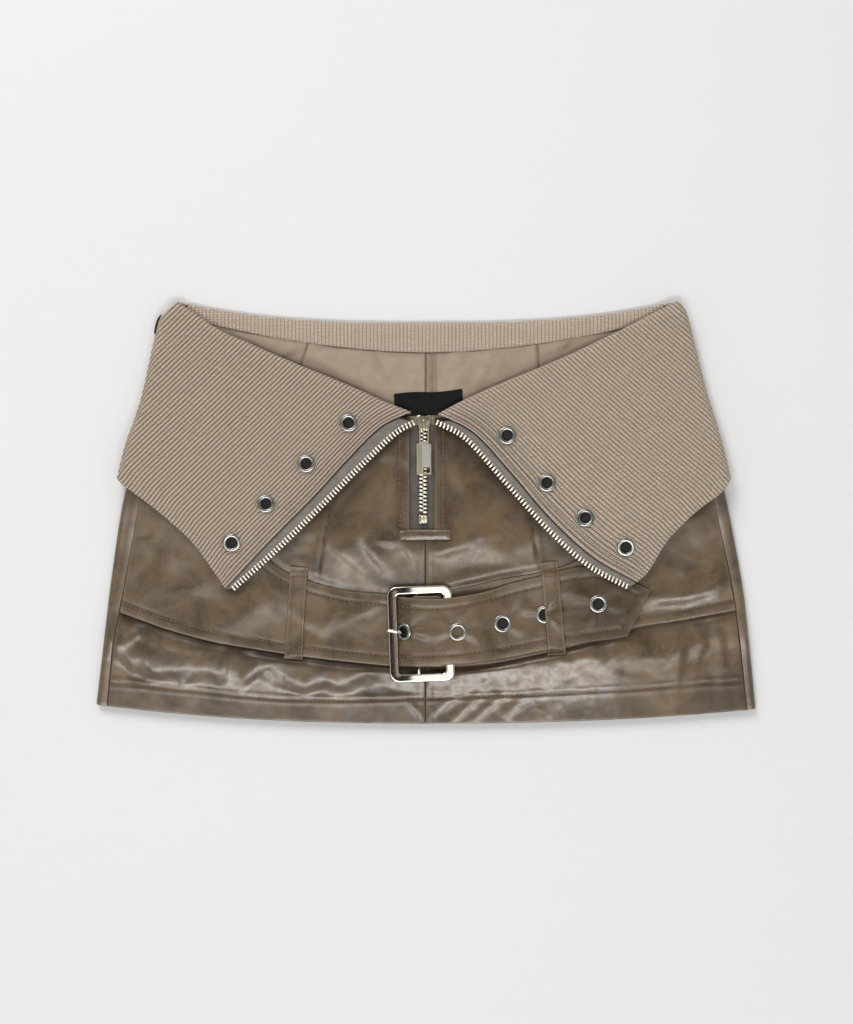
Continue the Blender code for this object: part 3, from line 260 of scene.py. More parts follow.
def shell(name, middle, thickness, finish, uv=None, keep=None, edge=None, rounding=wallEdge["round"],
          outerRelief=0.0, innerRelief=0.0, shade=None, matt=None):
    # wall round a middle surface: both faces stand off it by half the thickness, and near a free
    # border they close in on it along a quarter circle, down to a least share of the thickness
    normal, flip = normals(middle)
    rows, columns = middle.shape[:2]
    total = rows * columns
    edge = borderDistance(middle) if edge is None else edge
    quarter = np.sqrt(1 - (1 - np.clip(edge / rounding, 0, 1)) ** 2)
    closing = wallEdge["least"] + (1 - wallEdge["least"]) * quarter
    half = thickness / 2 * closing
    outer = middle + normal * (half + closing * outerRelief)[..., None]
    inner = middle - normal * (half + closing * innerRelief)[..., None]
    quads = gridFaces(rows, columns)
    faces = wallFaces(quads.reshape(-1, 4) if keep is None else quads[keep], total)
    points = np.concatenate([outer.reshape(-1, 3), inner.reshape(-1, 3)])
    uv = middle[..., :2] * 0.1 if uv is None else uv
    values = {"edge": np.tile(bell(edge / wallEdge["wear"]).ravel(), 2)}
    # the groove value darkens the finish: dark seams and stitch lines, and painted shade in hollows, in low
    # places and under edges that lie over the piece; the matt value dulls the coat
    for key, field in (("groove", shade), ("matt", matt)):
        if field is not None:
            values[key] = np.concatenate([field.ravel(), np.zeros(total)])
    return putMesh(name, points, faces[:, ::-1] if flip else faces, finish,
                   np.tile(uv.reshape(-1, 2), (2, 1)), values)


def finishPiece(piece, slot, *nodes, body="garment"):
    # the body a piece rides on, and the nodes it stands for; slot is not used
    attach(piece, body)
    if nodes:
        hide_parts(*nodes)


def clothPiece(name, slot, node, middle, thickness, finish, held, restsOn, width=None, length=None, **wall):
    # wall of cloth; the width and length of its cut in millimetres are worked out where not given
    piece = shell(name, middle, thickness, finish, **wall)
    finishPiece(piece, slot, node)
    across, along = (np.linalg.norm(np.diff(middle, axis=k), axis=2).sum(axis=k).max() for k in (1, 0))
    width, length = width or float(across), length or float(along)


def capsule(sides, rings):
    # small rounded bar along X from -1 to 1: rings of points, and four-sided faces with closed ends
    reach = np.cos(np.linspace(math.pi, 0, rings))
    radius = np.maximum(np.sqrt(1 - reach ** 2), 0.3)
    angle = np.arange(sides) * 2 * math.pi / sides
    points = np.stack([np.repeat(reach, sides), np.outer(radius, np.cos(angle)).ravel(),
                       np.outer(radius, np.sin(angle)).ravel()], 1)
    return points, barFaces(sides, rings)


def repeated(name, template, places, axes, finish):
    # many copies of one small shape: each is the template turned by its own three axes, and where
    # these are left-handed the faces are turned over, so that they always look outwards
    points, faces = template
    faces = faces[:, ::-1] if np.linalg.det(axes[0]) < 0 else faces
    copies = places[:, None, :] + np.einsum("nij,tj->nti", axes, points)
    shifted = faces[None] + (np.arange(len(places)) * len(points))[:, None, None]
    return putMesh(name, copies.reshape(-1, 3), shifted.reshape(-1, 4), finish)


def alongLine(line, spacing, start=0.0):
    # places and directions at even steps along a line of points
    run = lengths(line)
    at, near = np.arange(start, run[-1] - start + 1e-6, spacing), 0.4
    ahead = readLine(line, run, np.minimum(at + near, run[-1]))
    behind = readLine(line, run, np.maximum(at - near, 0))
    return readLine(line, run, at), unit(ahead - behind)


def stitchRow(lines, surface, length=2.5, gap=0.75, radius=0.27, sink=0.02):
    # places and axes of stitches laid end to end along lines in plan, lying on a surface
    everyPlace, everyAxes = [], []
    for line in lines:
        plan = byLength(line, 160)
        height = surface(plan[:, 0], plan[:, 1])
        place, way = alongLine(np.column_stack([plan, height]), length + gap, length / 2)
        slopeX = (surface(place[:, 0] + 0.5, place[:, 1]) - surface(place[:, 0] - 0.5, place[:, 1]))
        slopeY = (surface(place[:, 0], place[:, 1] + 0.5) - surface(place[:, 0], place[:, 1] - 0.5))
        up = unit(np.column_stack([-slopeX, -slopeY, np.ones(len(place))]))
        side = unit(np.cross(up, way))
        everyPlace.append(place + up * sink)
        everyAxes.append(np.stack([way * length / 2, side * radius, up * radius * 0.8], 2))
    return np.concatenate(everyPlace), np.concatenate(everyAxes)


def revolved(name, profile, sides, place, turn, finish):
    # ring turned round its own upright axis from a closed profile of radius and height
    profile = np.asarray(profile, dtype=float)
    angle = np.arange(sides) * 2 * math.pi / sides
    ring = np.stack([np.outer(np.cos(angle), profile[:, 0]), np.outer(np.sin(angle), profile[:, 0]),
                     np.tile(profile[:, 1], (sides, 1))], -1)
    points = place + ring.reshape(-1, 3) @ turn.T
    return putMesh(name, points, ringFaces(sides, len(profile)), finish, sharp=50)


def tube(name, path, radius, sides, finish, sideways=(0.0, 1.0, 0.0), flatten=1.0):
    # round bar along a path, its radius given at every point; sideways never lies along the path
    path, radius = np.asarray(path, dtype=float), np.asarray(radius, dtype=float)
    way = unit(np.gradient(path, axis=0))
    side = unit(np.array(sideways) - way * (way @ np.array(sideways))[:, None])
    other = np.cross(way, side)
    angle = np.arange(sides) * 2 * math.pi / sides
    ring = (side[:, None] * np.cos(angle)[None, :, None] * flatten
            + other[:, None] * np.sin(angle)[None, :, None])
    points = (path[:, None] + ring * radius[:, None, None]).reshape(-1, 3)
    return putMesh(name, points, barFaces(sides, len(path)), finish, sharp=60)


def plate(name, outline, layers, finish, centre=None):
    # solid plate: its outline drawn in towards a centre by each layer's share, at that layer's
    # height, closed by a cap at both ends
    outline = np.asarray(outline, dtype=float)
    centre = outline.mean(axis=0) if centre is None else np.asarray(centre, dtype=float)
    rings = [np.column_stack([centre + (outline - centre) * share, np.full(len(outline), z)])
             for share, z in layers]
    return putMesh(name, np.concatenate(rings), barFaces(len(outline), len(layers)), finish, sharp=35)


# how the layers lie

cloth = {"leather": 1.2, "band": 1.6, "rib": 2.2, "backRib": 1.8, "shorts": 1.0, "tape": 0.8,
         "label": 0.4, "gap": 0.3, "underLapel": 1.1, "foldPuff": 2.0, "strapOver": 1.0}
backMid = cloth["leather"] / 2
shortsBackMid = cloth["leather"] + cloth["gap"] + cloth["shorts"] / 2
shortsFrontMid = shortsBackMid + cloth["shorts"] + cloth["gap"]
frontMid = shortsFrontMid + cloth["shorts"] / 2 + cloth["gap"] + cloth["leather"] / 2
bandOnFront = cloth["leather"] / 2 + cloth["gap"] + cloth["band"] / 2
underMid = shortsBackMid + cloth["shorts"] / 2 + 0.5 + cloth["rib"] / 2
insideMid = cloth["leather"] / 2 + 1.0
flapMid = frontMid + cloth["leather"] / 2 + cloth["underLapel"] + cloth["rib"] / 2
hangingMid = cloth["backRib"] / 2
ribStep = cloth["rib"] + cloth["gap"]
foldRadius = (flapMid + cloth["foldPuff"] - underMid) / 2
sideRadius = (flapMid + ribStep - hangingMid) / 2
topRadius = (insideMid - hangingMid + ribStep) / 2

# rows from waist to hem: side folds' and centres' heights, side folds and seams, and how sharply
# the front and back rows bend up to the sides
skirtRows = np.array([
    # sideL   sideR   frontY   backY   foldL    seamL    seamR   foldR  bowF bowB
    (138, 138, 66, 112.5, -174, -167, 167, 174, 2.6, 1.8),
    (78, 78, 30, 62, -194, -187, 187, 194, 2.2, 1.8),
    (9, 9, -25, 2, -211, -199.5, 200.5, 209.5, 2, 2),
    (-47.5, -47.5, -74, -55, -220, -210, 213, 220.5, 2, 2),
    (-87.5, -87.5, -111, -98, -224.7, -217.7, 218.7, 225.4, 2.2, 2.2),
    (-134.4, -137.5, -147.6, -147.6, -230.3, -222.6, 224, 230.3, 2.3, 2.3)])
skirtNames = ("sideL", "sideR", "frontY", "backY", "foldL", "seamL", "seamR", "foldR", "bowF",
              "bowB")
skirt = {"centreX": -0.5, "shortsInset": 7.0, "shortsHem": 0.86, "crotch": 0.66, "legGap": 14.0,
         "flyLeft": -11.5, "flyRight": 5.9, "flyBottom": -12.2, "step": 1.45}

leftLapel = {
    "fold": [(-10.5, 70), (-30, 77.5), (-53, 88), (-84.7, 101), (-105, 109.5),
             (-124.6, 118.3), (-144.2, 127), (-173.6, 147)],
    "free": [(-139.5, -53.5), (-150, -38.5), (-164, -19.6), (-187, 1.4), (-198, 9.8),
             (-206.5, 16.1), (-211.5, 19.6), (-215.6, 23.8)],
    "zip": [(-10.5, 70), (-31.5, 58.6), (-54.6, 35.9), (-78.5, 9.8), (-107.5, -19.5),
            (-139.5, -53.5)],
    "side": [(-173.6, 147), (-184.5, 137.5), (-190.5, 116.9), (-199.5, 77.7), (-209.5, 48),
             (-215.6, 23.8)],
    "teeth": [(-8.2, 62.4), (-22.4, 53.9), (-48.3, 29.2), (-76.5, 0.6), (-105.5, -27.8),
              (-134.5, -53.5)],
    "eyelets": [(-53.9, 61.9), (-83.3, 33.6), (-111.3, 5.6), (-135.1, -21.4)]}
rightLapel = {
    "fold": [(8.4, 68.6), (27.3, 78.4), (50.4, 88.9), (74.2, 98.7), (97.3, 108.5), (121.1, 119.7),
             (143, 130.5), (175.7, 147.7)],
    "free": [(146.5, -49), (156, -39.5), (168, -19.6), (184, -2.8), (196, 7),
             (203, 11.9), (208.5, 17), (212.8, 23.8)],
    "zip": [(8.4, 68.6), (33.6, 54.3), (60, 26), (86, -4.3), (115, -30.8),
            (146.5, -49)],
    "side": [(175.7, 147.7), (182, 137.8), (187.5, 116.9), (196, 84), (204.5, 56),
             (212.8, 23.8)],
    "teeth": [(7.2, 62.6), (28.5, 50.5), (57, 19), (86, -13), (113, -37),
              (141, -52.5)],
    "eyelets": [(56.4, 53.2), (84, 20.3), (110.6, -4.2), (138.6, -24.5)]}

leftBandRows = [
    (-195.5, 29.4, -213.8, -70), (-165.2, 15.4, -182.7, -81.2), (-133.7, -7, -149.8, -90.3),
    (-114.8, -28, -126.7, -94.5), (-95.9, -42.7, -98.7, -99), (-60.2, -53.9, -63, -103.6),
    (-28, -57.4, -26.6, -107.1), (-11.2, -59.5, -9.8, -107.1), (9.8, -60.2, 9.8, -106.4),
    (38.5, -56, 35, -104.3), (59.5, -49.7, 59.5, -100.8), (81.2, -44.4, 84, -95.9),
    (105, -38.5, 111.3, -91), (125.3, -39.2, 127.4, -88.9), (156.1, -54.6, 140.3, -86.8)]
rightBandRows = [
    (197.4, 28, 216.5, -68.6), (166.6, 15.4, 177.8, -75.6), (135.1, -7, 143.5, -81.2),
    (105, -33.6, 111.3, -91.3), (79.8, -42, 84, -98), (52.5, -46.9, 53.9, -104.3),
    (35, -51.1, 37.8, -106.4), (17.5, -54.6, 21, -107.8), (4, -58.5, 4, -107.5)]
strapEyelets = [(-15, -83.3), (22, -83.3), (53.2, -77.7), (82.6, -71.4), (119.7, -64)]
beltLoops = {"left": (-88.5, -38.1, -92.4, -102.6), "right": (85.8, -34.6, 91.2, -99.3)}

buckle = {"x": -3.5, "y": -84.7, "turn": 2.1, "width": 45.0, "height": 66.5, "corner": 6.5,
          "thick": 3.5, "sideBar": 6.0, "armBar": 5.4, "barX": -2.2, "barR": 1.5,
          "prongY": -83.6, "prongTip": -27.5, "prongR": 1.25, "innerCorner": 2.6}
strapTop = frontMid + cloth["leather"] / 2 + cloth["gap"] + cloth["band"]
buckleMid = strapTop + cloth["gap"] + buckle["thick"] / 2 + buckle["barR"]
barMid = strapTop + cloth["gap"] + buckle["barR"]
wrapR = buckle["barR"] + cloth["gap"] + cloth["band"] / 2
overWrap = barMid + wrapR + cloth["band"] / 2 + cloth["gap"] - (strapTop - cloth["band"])
overBar = buckleMid + buckle["thick"] / 2 + 5 * cloth["gap"] - (strapTop - cloth["band"])
onBand = cloth["band"] + cloth["gap"] + cloth["strapOver"]
strapRise = [(-400.0, 0.0), (-22.5, 0.0), (-8.5, overWrap), (14.0, overBar),
             (27.0, overBar), (58.0, onBand), (400.0, onBand)]

zipSizes = {"x": -2.0, "sliderX": -1.4, "sliderY": 62.0, "tapeHalf": 14.0, "tapeTop": 60.5,
            "tapeBottom": -16.5, "stopTop": -2.1, "stopBottom": -8.3, "hingeY": 58.6,
            "hingeRise": 1.0, "neckEnd": 47.6, "pullEnd": 25.9, "tilt": 1.5,
            "openPitch": {"left": 2.62, "right": 2.71}, "closedPitch": 2.75, "startMid": 9.3,
            "sliderHigh": 2.8, "openTooth": (2.05, 0.86, 1.0), "closedTooth": (1.5, 0.85, 0.95),
            "toothOut": 1.32, "stopBar": (0.95, 3.0, 0.75)}
tapeLow = shortsFrontMid + cloth["rib"] + cloth["gap"] - cloth["shorts"] / 2
tapeTop = tapeLow + cloth["tape"]
chainBase = tapeTop + cloth["gap"]


def skirtAt(shares):
    # one column of values for each name in the table, a row for each share
    rows = through(skirtRows, shares)
    return {name: rows[:, k][:, None] for k, name in enumerate(skirtNames)}


def rowY(at, x, centre, bow):
    # height of a row: level at the centre and bent up towards the side folds
    side = np.where(x < 0, at["sideL"], at["sideR"])
    reach = np.clip(np.where(x < 0, x / at["foldL"], x / at["foldR"]), 0, 1)
    return centre + (side - centre) * reach ** bow


# puffed leather above the hem: x, y of its lower slope, half the slope's width, and its height
hemPuff = np.array([
    (-232, -92, 4, 0.8), (-219, -100, 4, 1.7), (-206, -111, 3.6, 2.2), (-190, -117, 3.4, 2.3),
    (-170, -119, 3.4, 2.3), (-156, -117.5, 3.4, 2.3), (-145, -119, 3.2, 1.8), (-137, -121, 5, 0.5),
    (-130, -123.5, 4, 0.9), (-125, -122.5, 3, 1.7), (-117, -114.5, 3.2, 2),
    (-106, -118, 3.4, 2.2),
    (-92, -124, 3, 2.2), (-83, -126.5, 2.8, 2.1), (-74, -124, 3, 2.1), (-63, -127, 2.8, 2.2),
    (-53, -124.5, 3.4, 2.3), (-39, -119, 4.5, 2.3), (-26, -115, 5, 2), (-14, -121, 5, 1.4),
    (0, -123, 7, 1.5), (20, -121, 9, 2.4), (45, -117, 10, 2.8), (70, -115, 10, 2.9),
    (95, -112, 9, 2.8), (112, -108, 8, 2.2), (125, -107, 7, 1.1), (140, -107, 6.5, 1.5),
    (160, -107, 6, 1.9), (175, -103, 6, 1.5), (190, -96, 6, 1.7), (205, -92, 6, 1),
    (232, -90, 6, 0.4)])
# soft folds of the front: x, y, angle, reach, widths below and above, height, bow
frontFolds = [
    (-145, -108, -9, 42, 12, 14, 1.2, 0),
    (112, -112, 9, 52, 14, 14, 1, 0),
    (-52, -16, 52, 30, 13, 13, 1.1, 0),
    (44, -22, -48, 28, 13, 13, 1.1, 0),
    (-36, -30, -52, 15, 3.4, 7, 1.5, 1),
    (-52, -33, -42, 17, 4, 8, 1.1, -1.5),
    (-27, -20.5, -8, 7, 2.6, 4, 1.1, 0),
    (-12, -27, -62, 10, 3, 5, 0.9, 0),
    (16, -26, 14, 16, 4, 6, 1.3, 1.5),
    (36, -46, 12, 30, 2.8, 6, 1.2, -2),
    (80, -10, 56, 32, 6, 9, 0.9, 2),
    (100, -2, 48, 26, 5, 8, 0.8, -2),
    (-34, 6, 66, 26, 4, 5, 1, 2),
    (30, 12, -66, 26, 5, 8, 0.8, -2),
    (176, -104, 84, 22, 5, 6, 1.3, 1.5),
    (190, -98, 72, 20, 4, 5, 1, -1.5),
    (205, -96, 96, 20, 4, 5, 0.9, 1),
    (14, -134, 38, 12, 2.4, 3.5, 0.8, 0),
    (28, -137, 44, 13, 2.4, 3.5, 0.8, 0),
    (44, -136, 40, 14, 2.6, 3.5, 0.8, 0),
    (62, -136, 50, 12, 2.6, 3.5, 0.6, 0),
    (-8, -137, -50, 8, 2.2, 3, 0.8, 0),
    (-180, -92, -16, 24, 4, 9, 1, 2),
    (-205, -88, 38, 12, 3, 5, 0.9, 1),
    (-140, -104, 86, 15, 4, 3, 0.8, 0),
    (-100, -104, -14, 30, 5, 8, 0.7, 2)]
# broad creases of the side the garment lies on, which the layers over it follow
backFolds = [
    (-120, -70, 24, 60, 11, 16, 0.9, 5), (95, -50, -32, 54, 10, 15, 0.9, -5),
    (-40, -110, 8, 60, 9, 13, 0.7, 3), (150, -110, 14, 40, 9, 12, 0.7, 3),
    (20, -20, 60, 36, 10, 12, 0.6, 0)]
hemStitchLine = np.array([
    (-228.2, -117.6), (-219.1, -119), (-198.8, -121.1), (-163.8, -124.6), (-130.2, -128.3),
    (-101.5, -130.6), (-62.3, -131.6), (2.1, -130), (74.2, -127.4), (93.8, -126.4), (151.9, -123.2),
    (191.8, -119.7), (222.6, -118.2), (228.9, -117.6)])


# beyond an edge that lies under them, the layers above come down over this stretch
settle = {"from": 54.0, "over": 46.0}


def hangingEdge(x):
    # lower edge of the collar's hanging back
    return -6.0 + 29.8 * (x / 215.0) ** 2


def lift(x, y):
    # how far the collar's hanging back raises the layers over it
    return ribStep * ease((y - hangingEdge(x) + settle["from"]) / settle["over"]) + ridges(x, y, backFolds)


def hemLine(x):
    return np.interp(x, hemStitchLine[:, 0], hemStitchLine[:, 1])


def puff(x, y):
    # rises across the lower slope, then fades up to the hip bands
    wander = 1.8 * lattice(x, y, 11.0, 71) + lattice(x, y, 5.0, 72)
    slopeY, half, height = (np.interp(x, hemPuff[:, 0], hemPuff[:, k]) for k in (1, 2, 3))
    left = ease((10.0 - x) / 30.0)
    half, height = half * (1 + left), height * (1 + 0.3 * left)
    place = y - slopeY - wander - 2.5 * left
    rise = ease((place + half) / (2 * half))
    return height * rise * (1 - 0.85 * ease((place - half) / 26.0))


relief = {"crinkle": 0.34, "crease": 0.22, "gloss": 0.16, "onHem": 0.45, "puffOnHem": 0.15,
          "least": -0.3}


def frontRelief(x, y):
    # puffed leather, soft folds, winding creases and small crumples; calmer on the folded hem
    calm = ease((y - hemLine(x)) / 5.0)
    crinkle = relief["crinkle"] * crumple(x, y, 21.0, 5) + relief["crease"] * sharpCreases(x, y, 30.0, 15)
    gloss = ease((x + 10.0) / 30.0) * ease((128.0 - x) / 26.0) * ease((-88.0 - y) / 12.0)
    crinkle = crinkle * (relief["onHem"] + (1 - relief["onHem"]) * calm)
    crinkle = crinkle + relief["gloss"] * gloss * crumple(x, y, 6.0, 25, 2)
    puffed = puff(x, y) * (relief["puffOnHem"] + (1 - relief["puffOnHem"]) * calm)
    return np.maximum(puffed + ridges(x, y, frontFolds) + crinkle, relief["least"])


def frontHeight(x, y):
    # middle of the bare front panels
    return frontMid + lift(x, y) + frontRelief(x, y)


def bandEdge(x, first):
    # top edge (first 0) or lower edge (first 2) of the hip bands, the strap left out
    rows = np.array([row[first:first + 2] for row in
                     [row for row in leftBandRows if row[first] < -20] + rightBandRows[::-1]])
    return np.interp(x, rows[:, 0], rows[:, 1])


def smoothFront(x, y):
    # the front without its small creases, which the layers lying over it follow
    return frontMid + lift(x, y) + ridges(x, y, frontFolds[:4])


# folds of the hip bands and strap
bandFolds = [
    (-66, -74, 60, 13, 3.6, 6, 0.9, 1.5), (-78, -79, -28, 15, 3.4, 6, 0.8, 1),
    (-48, -71, 24, 14, 3.4, 7, 0.8, 0), (-36, -66, 48, 9, 3, 5, 0.7, 0),
    (-112, -62, 40, 22, 6, 9, 0.7, 2), (-150, -48, 20, 30, 7, 10, 0.7, 3),
    (-182, -40, 60, 26, 7, 9, 0.6, 2), (-132, -30, -36, 22, 7, 10, 0.6, 0),
    (186, -58, 10, 22, 3.4, 8, 1.9, 2), (168, -62, 4, 16, 3, 7, 1.1, -1),
    (180, -30, 60, 34, 7, 10, 0.9, 3), (150, -30, 40, 24, 6, 9, 0.7, 0),
    (205, -40, 80, 30, 5, 7, 0.8, 0)]


def eyeletCreases(x, y):
    # creases that run out from each punched hole, four deep ones between shallow ones
    total = 0.0 * x
    for k, (ex, ey) in enumerate(strapEyelets):
        away, angle = np.hypot(x - ex, y - ey), np.arctan2(y - ey, x - ex)
        star = np.cos(4 * angle + 0.4 + 0.3 * k) + 0.5 * np.cos(7 * angle + 1.7 * k)
        total = total + 0.46 * star * bell((away - 11.0) / 7.5)
    return total


def strapHeight(x, y, detail=True):
    # the left band on the front, then the strap over the buckle's bars and the right band
    along = x + (y - buckle["y"]) * math.tan(math.radians(buckle["turn"]))
    rise = 0.0 * x
    for (fromX, low), (toX, high) in zip(strapRise[:-1], strapRise[1:]):
        rise = rise + (high - low) * ease((along - fromX) / (toX - fromX))
    height = smoothFront(x, y) + bandOnFront + rise
    if detail:
        height = height + np.maximum(ridges(x, y, bandFolds) + 0.3 * crumple(x, y, 19.0, 31)
                                     + eyeletCreases(x, y) * ease((x + 26.0) / 8.0), -0.2)
    return height


def rightBandHeight(x, y):
    # under the strap the band stays flat
    bare = ease((x - rightBand["bareFrom"]) / 20.0)
    return (smoothFront(x, y) + bandOnFront
            + bare * np.maximum(ridges(x, y, bandFolds) + 0.3 * crumple(x, y, 19.0, 33), -0.2))


neck = {"foldY": 66.0, "openY": 62.0, "slope": 0.435}


def foldDistance(x, y):
    # distance to the lapels' folds, taken as two straight lines that meet at the zip
    return np.abs(y - neck["foldY"] - neck["slope"] * np.abs(x)) * math.cos(math.atan(neck["slope"]))


flap = {"soft": 0.45, "softFine": 0.2, "foldWide": 13.0, "up": 0.4, "strapX": 66.0, "strapY": 20.0}


def flapHeight(x, y):
    # middle of a lapel: over the hip band, over the strap, and puffed up along its fold
    overBand = ease((bandEdge(x, 0) + settle["from"] - y) / settle["over"])
    overStrap = ease((x - flap["strapX"]) / 44.0) * ease((flap["strapY"] - y) / 44.0)
    soft = flap["soft"] * lattice(x, y, 46.0, 41) + flap["softFine"] * lattice(x, y, 21.0, 42)
    return (flapMid + lift(x, y) + ridges(x, y, frontFolds[:4])
            + (cloth["band"] + cloth["gap"]) * overBand
            + (cloth["band"] + cloth["gap"] + cloth["strapOver"]) * overStrap
            + cloth["foldPuff"] * bell(foldDistance(x, y) / flap["foldWide"]) + soft + flap["up"])


# finishes

def plug(tree, value, socket):
    # a socket is linked; a colour of three numbers gets its fourth
    if isinstance(value, bpy.types.NodeSocket):
        tree.links.new(value, socket)
    else:
        socket.default_value = (*value, 1.0) if isinstance(value, tuple) and len(value) == 3 else value


def calc(tree, operation, *values, clamp=False):
    node = tree.nodes.new("ShaderNodeMath")
    node.operation, node.use_clamp = operation, clamp
    for value, socket in zip(values, node.inputs):
        plug(tree, value, socket)
    return node.outputs[0]


def times(tree, first, second):
    return calc(tree, "MULTIPLY", first, second)


def plus(tree, first, second):
    return calc(tree, "ADD", first, second)


def spread(tree, value, low, high, toLow=0.0, toHigh=1.0):
    node = tree.nodes.new("ShaderNodeMapRange")
    for item, socket in zip((value, low, high, toLow, toHigh), node.inputs):
        plug(tree, item, socket)
    return node.outputs[0]


def tint(tree, share, first, second, way="MIX"):
    node = tree.nodes.new("ShaderNodeMix")
    node.data_type, node.blend_type = "RGBA", way
    plug(tree, share, node.inputs["Factor"])
    for value, socket in ((first, node.inputs[6]), (second, node.inputs[7])):
        plug(tree, value, socket)
    return node.outputs[2]


def noise(tree, place, scale, detail=3.0, rough=0.55, bend=0.0):
    node = tree.nodes.new("ShaderNodeTexNoise")
    for key, value in (("Vector", place), ("Scale", scale), ("Detail", detail),
                       ("Roughness", rough), ("Distortion", bend)):
        plug(tree, value, node.inputs[key])
    return node.outputs["Fac"]


def fieldValue(tree, key):
    node = tree.nodes.new("ShaderNodeAttribute")
    node.attribute_name = key
    return node.outputs["Fac"]


def coordinates(tree, kind):
    node = tree.nodes.new("ShaderNodeTexCoord")
    return node.outputs[kind]


def shifted(tree, place, offset):
    node = tree.nodes.new("ShaderNodeMapping")
    plug(tree, place, node.inputs["Vector"])
    node.inputs["Location"].default_value = offset
    return node.outputs[0]


def parts(tree, place):
    node = tree.nodes.new("ShaderNodeSeparateXYZ")
    plug(tree, place, node.inputs[0])
    return node.outputs[0], node.outputs[1]


def newGroup(name, takes, gives):
    # empty node group with its sockets
    tree = bpy.data.node_groups.new(name, "ShaderNodeTree")
    for key, kind in takes:
        tree.interface.new_socket(key, in_out="INPUT", socket_type="NodeSocket" + kind)
    for key, kind in gives:
        tree.interface.new_socket(key, in_out="OUTPUT", socket_type="NodeSocket" + kind)
    source, result = tree.nodes.new("NodeGroupInput"), tree.nodes.new("NodeGroupOutput")
    return tree, source.outputs, result.inputs


def useGroup(tree, group, **values):
    node = tree.nodes.new("ShaderNodeGroup")
    node.node_tree = group
    for key, value in values.items():
        plug(tree, value, node.inputs[key])
    return node.outputs


def newFinish(name, **fixed):
    # finish whose fixed values are named as the shader's sockets, with _ for a space
    made = bpy.data.materials.new(name)
    made.use_nodes = True
    shader = made.node_tree.nodes["Principled BSDF"]
    for key, value in fixed.items():
        shader.inputs[key.replace("_", " ")].default_value = value
    return made, made.node_tree, shader


def raised(tree, shader, height, distance, strength=1.0):
    node = tree.nodes.new("ShaderNodeBump")
    plug(tree, height, node.inputs["Height"])
    node.inputs["Distance"].default_value = distance
    node.inputs["Strength"].default_value = strength
    tree.links.new(node.outputs[0], shader.inputs["Normal"])


def waxedLeather():
    # cloudy brown patches in three sizes, fine grain and hair creases; gloss wanders with them
    colours = [(key, "Color") for key in ("Base", "Dark", "Warm", "Pale")]
    tree, given, out = newGroup("waxedLeather", [("Place", "Vector")] + colours,
                                [("Color", "Color"), ("Grain", "Float"), ("Gloss", "Float")])
    place = given["Place"]
    cloud = noise(tree, place, 34.0, 5.0, 0.62, 0.9)
    patch = noise(tree, shifted(tree, place, (3.1, 1.7, 0.0)), 62.0, 4.0, 0.6, 1.4)
    small = noise(tree, shifted(tree, place, (7.7, 4.2, 0.0)), 240.0, 4.0, 0.65, 0.6)
    colour = tint(tree, spread(tree, cloud, 0.36, 0.6), given["Dark"], given["Base"])
    colour = tint(tree, spread(tree, patch, 0.5, 0.72, 0.0, 0.5), colour, given["Warm"])
    colour = tint(tree, spread(tree, small, 0.48, 0.8, 0.0, 0.35), colour, given["Pale"])
    colour = tint(tree, spread(tree, small, 0.46, 0.2, 0.0, 0.4), colour, given["Dark"])
    hair = noise(tree, shifted(tree, place, (1.3, 9.4, 0.0)), 300.0, 3.0, 0.5, 1.6)
    hair = calc(tree, "ABSOLUTE", calc(tree, "SUBTRACT", hair, 0.5))
    hair = spread(tree, hair, 0.0, 0.09)
    grain = noise(tree, place, 1500.0, 2.0, 0.6)
    soft = noise(tree, shifted(tree, place, (5.5, 2.2, 0.0)), 110.0, 4.0, 0.55, 0.8)
    height = plus(tree, times(tree, hair, 0.10), times(tree, grain, 0.03))
    height = plus(tree, height, times(tree, soft, 1.1))
    tree.links.new(colour, out["Color"])
    tree.links.new(height, out["Grain"])
    speckle = times(tree, spread(tree, small, 0.3, 0.7), 0.6)
    tree.links.new(plus(tree, times(tree, spread(tree, patch, 0.3, 0.7), 0.4), speckle), out["Gloss"])
    return tree


def knitStitches():
    # map across is ribs, map along is rows: a groove between ribs, which the knit's finish darkens as
    # painted shade, and on each rib two slanted columns of loops
    tree, given, out = newGroup("knitStitches", [("Place", "Vector"), ("Rows", "Float")],
                                [("Groove", "Float"), ("Loops", "Float"), ("Fuzz", "Float")])
    across, along = parts(tree, given["Place"])
    inRib = calc(tree, "FRACT", across)
    fromMiddle = calc(tree, "ABSOLUTE", calc(tree, "SUBTRACT", inRib, 0.5))
    groove = spread(tree, fromMiddle, 0.29, 0.46)
    slant = times(tree, fromMiddle, 1.1)
    wander = times(tree, noise(tree, given["Place"], 0.7, 2.0), 1.4)
    phase = plus(tree, plus(tree, times(tree, along, given["Rows"]), slant), wander)
    wave = calc(tree, "SINE", times(tree, phase, 2 * math.pi))
    loop = spread(tree, wave, -0.7, 0.5)
    split = spread(tree, fromMiddle, 0.0, 0.07)
    loop = times(tree, loop, calc(tree, "MULTIPLY_ADD", split, 0.4, 0.6))
    loop = times(tree, loop, calc(tree, "SUBTRACT", 1.0, times(tree, groove, 0.8)))
    fuzz = noise(tree, given["Place"], 9.0, 4.0, 0.7)
    tree.links.new(groove, out["Groove"])
    tree.links.new(loop, out["Loops"])
    tree.links.new(fuzz, out["Fuzz"])
    return tree


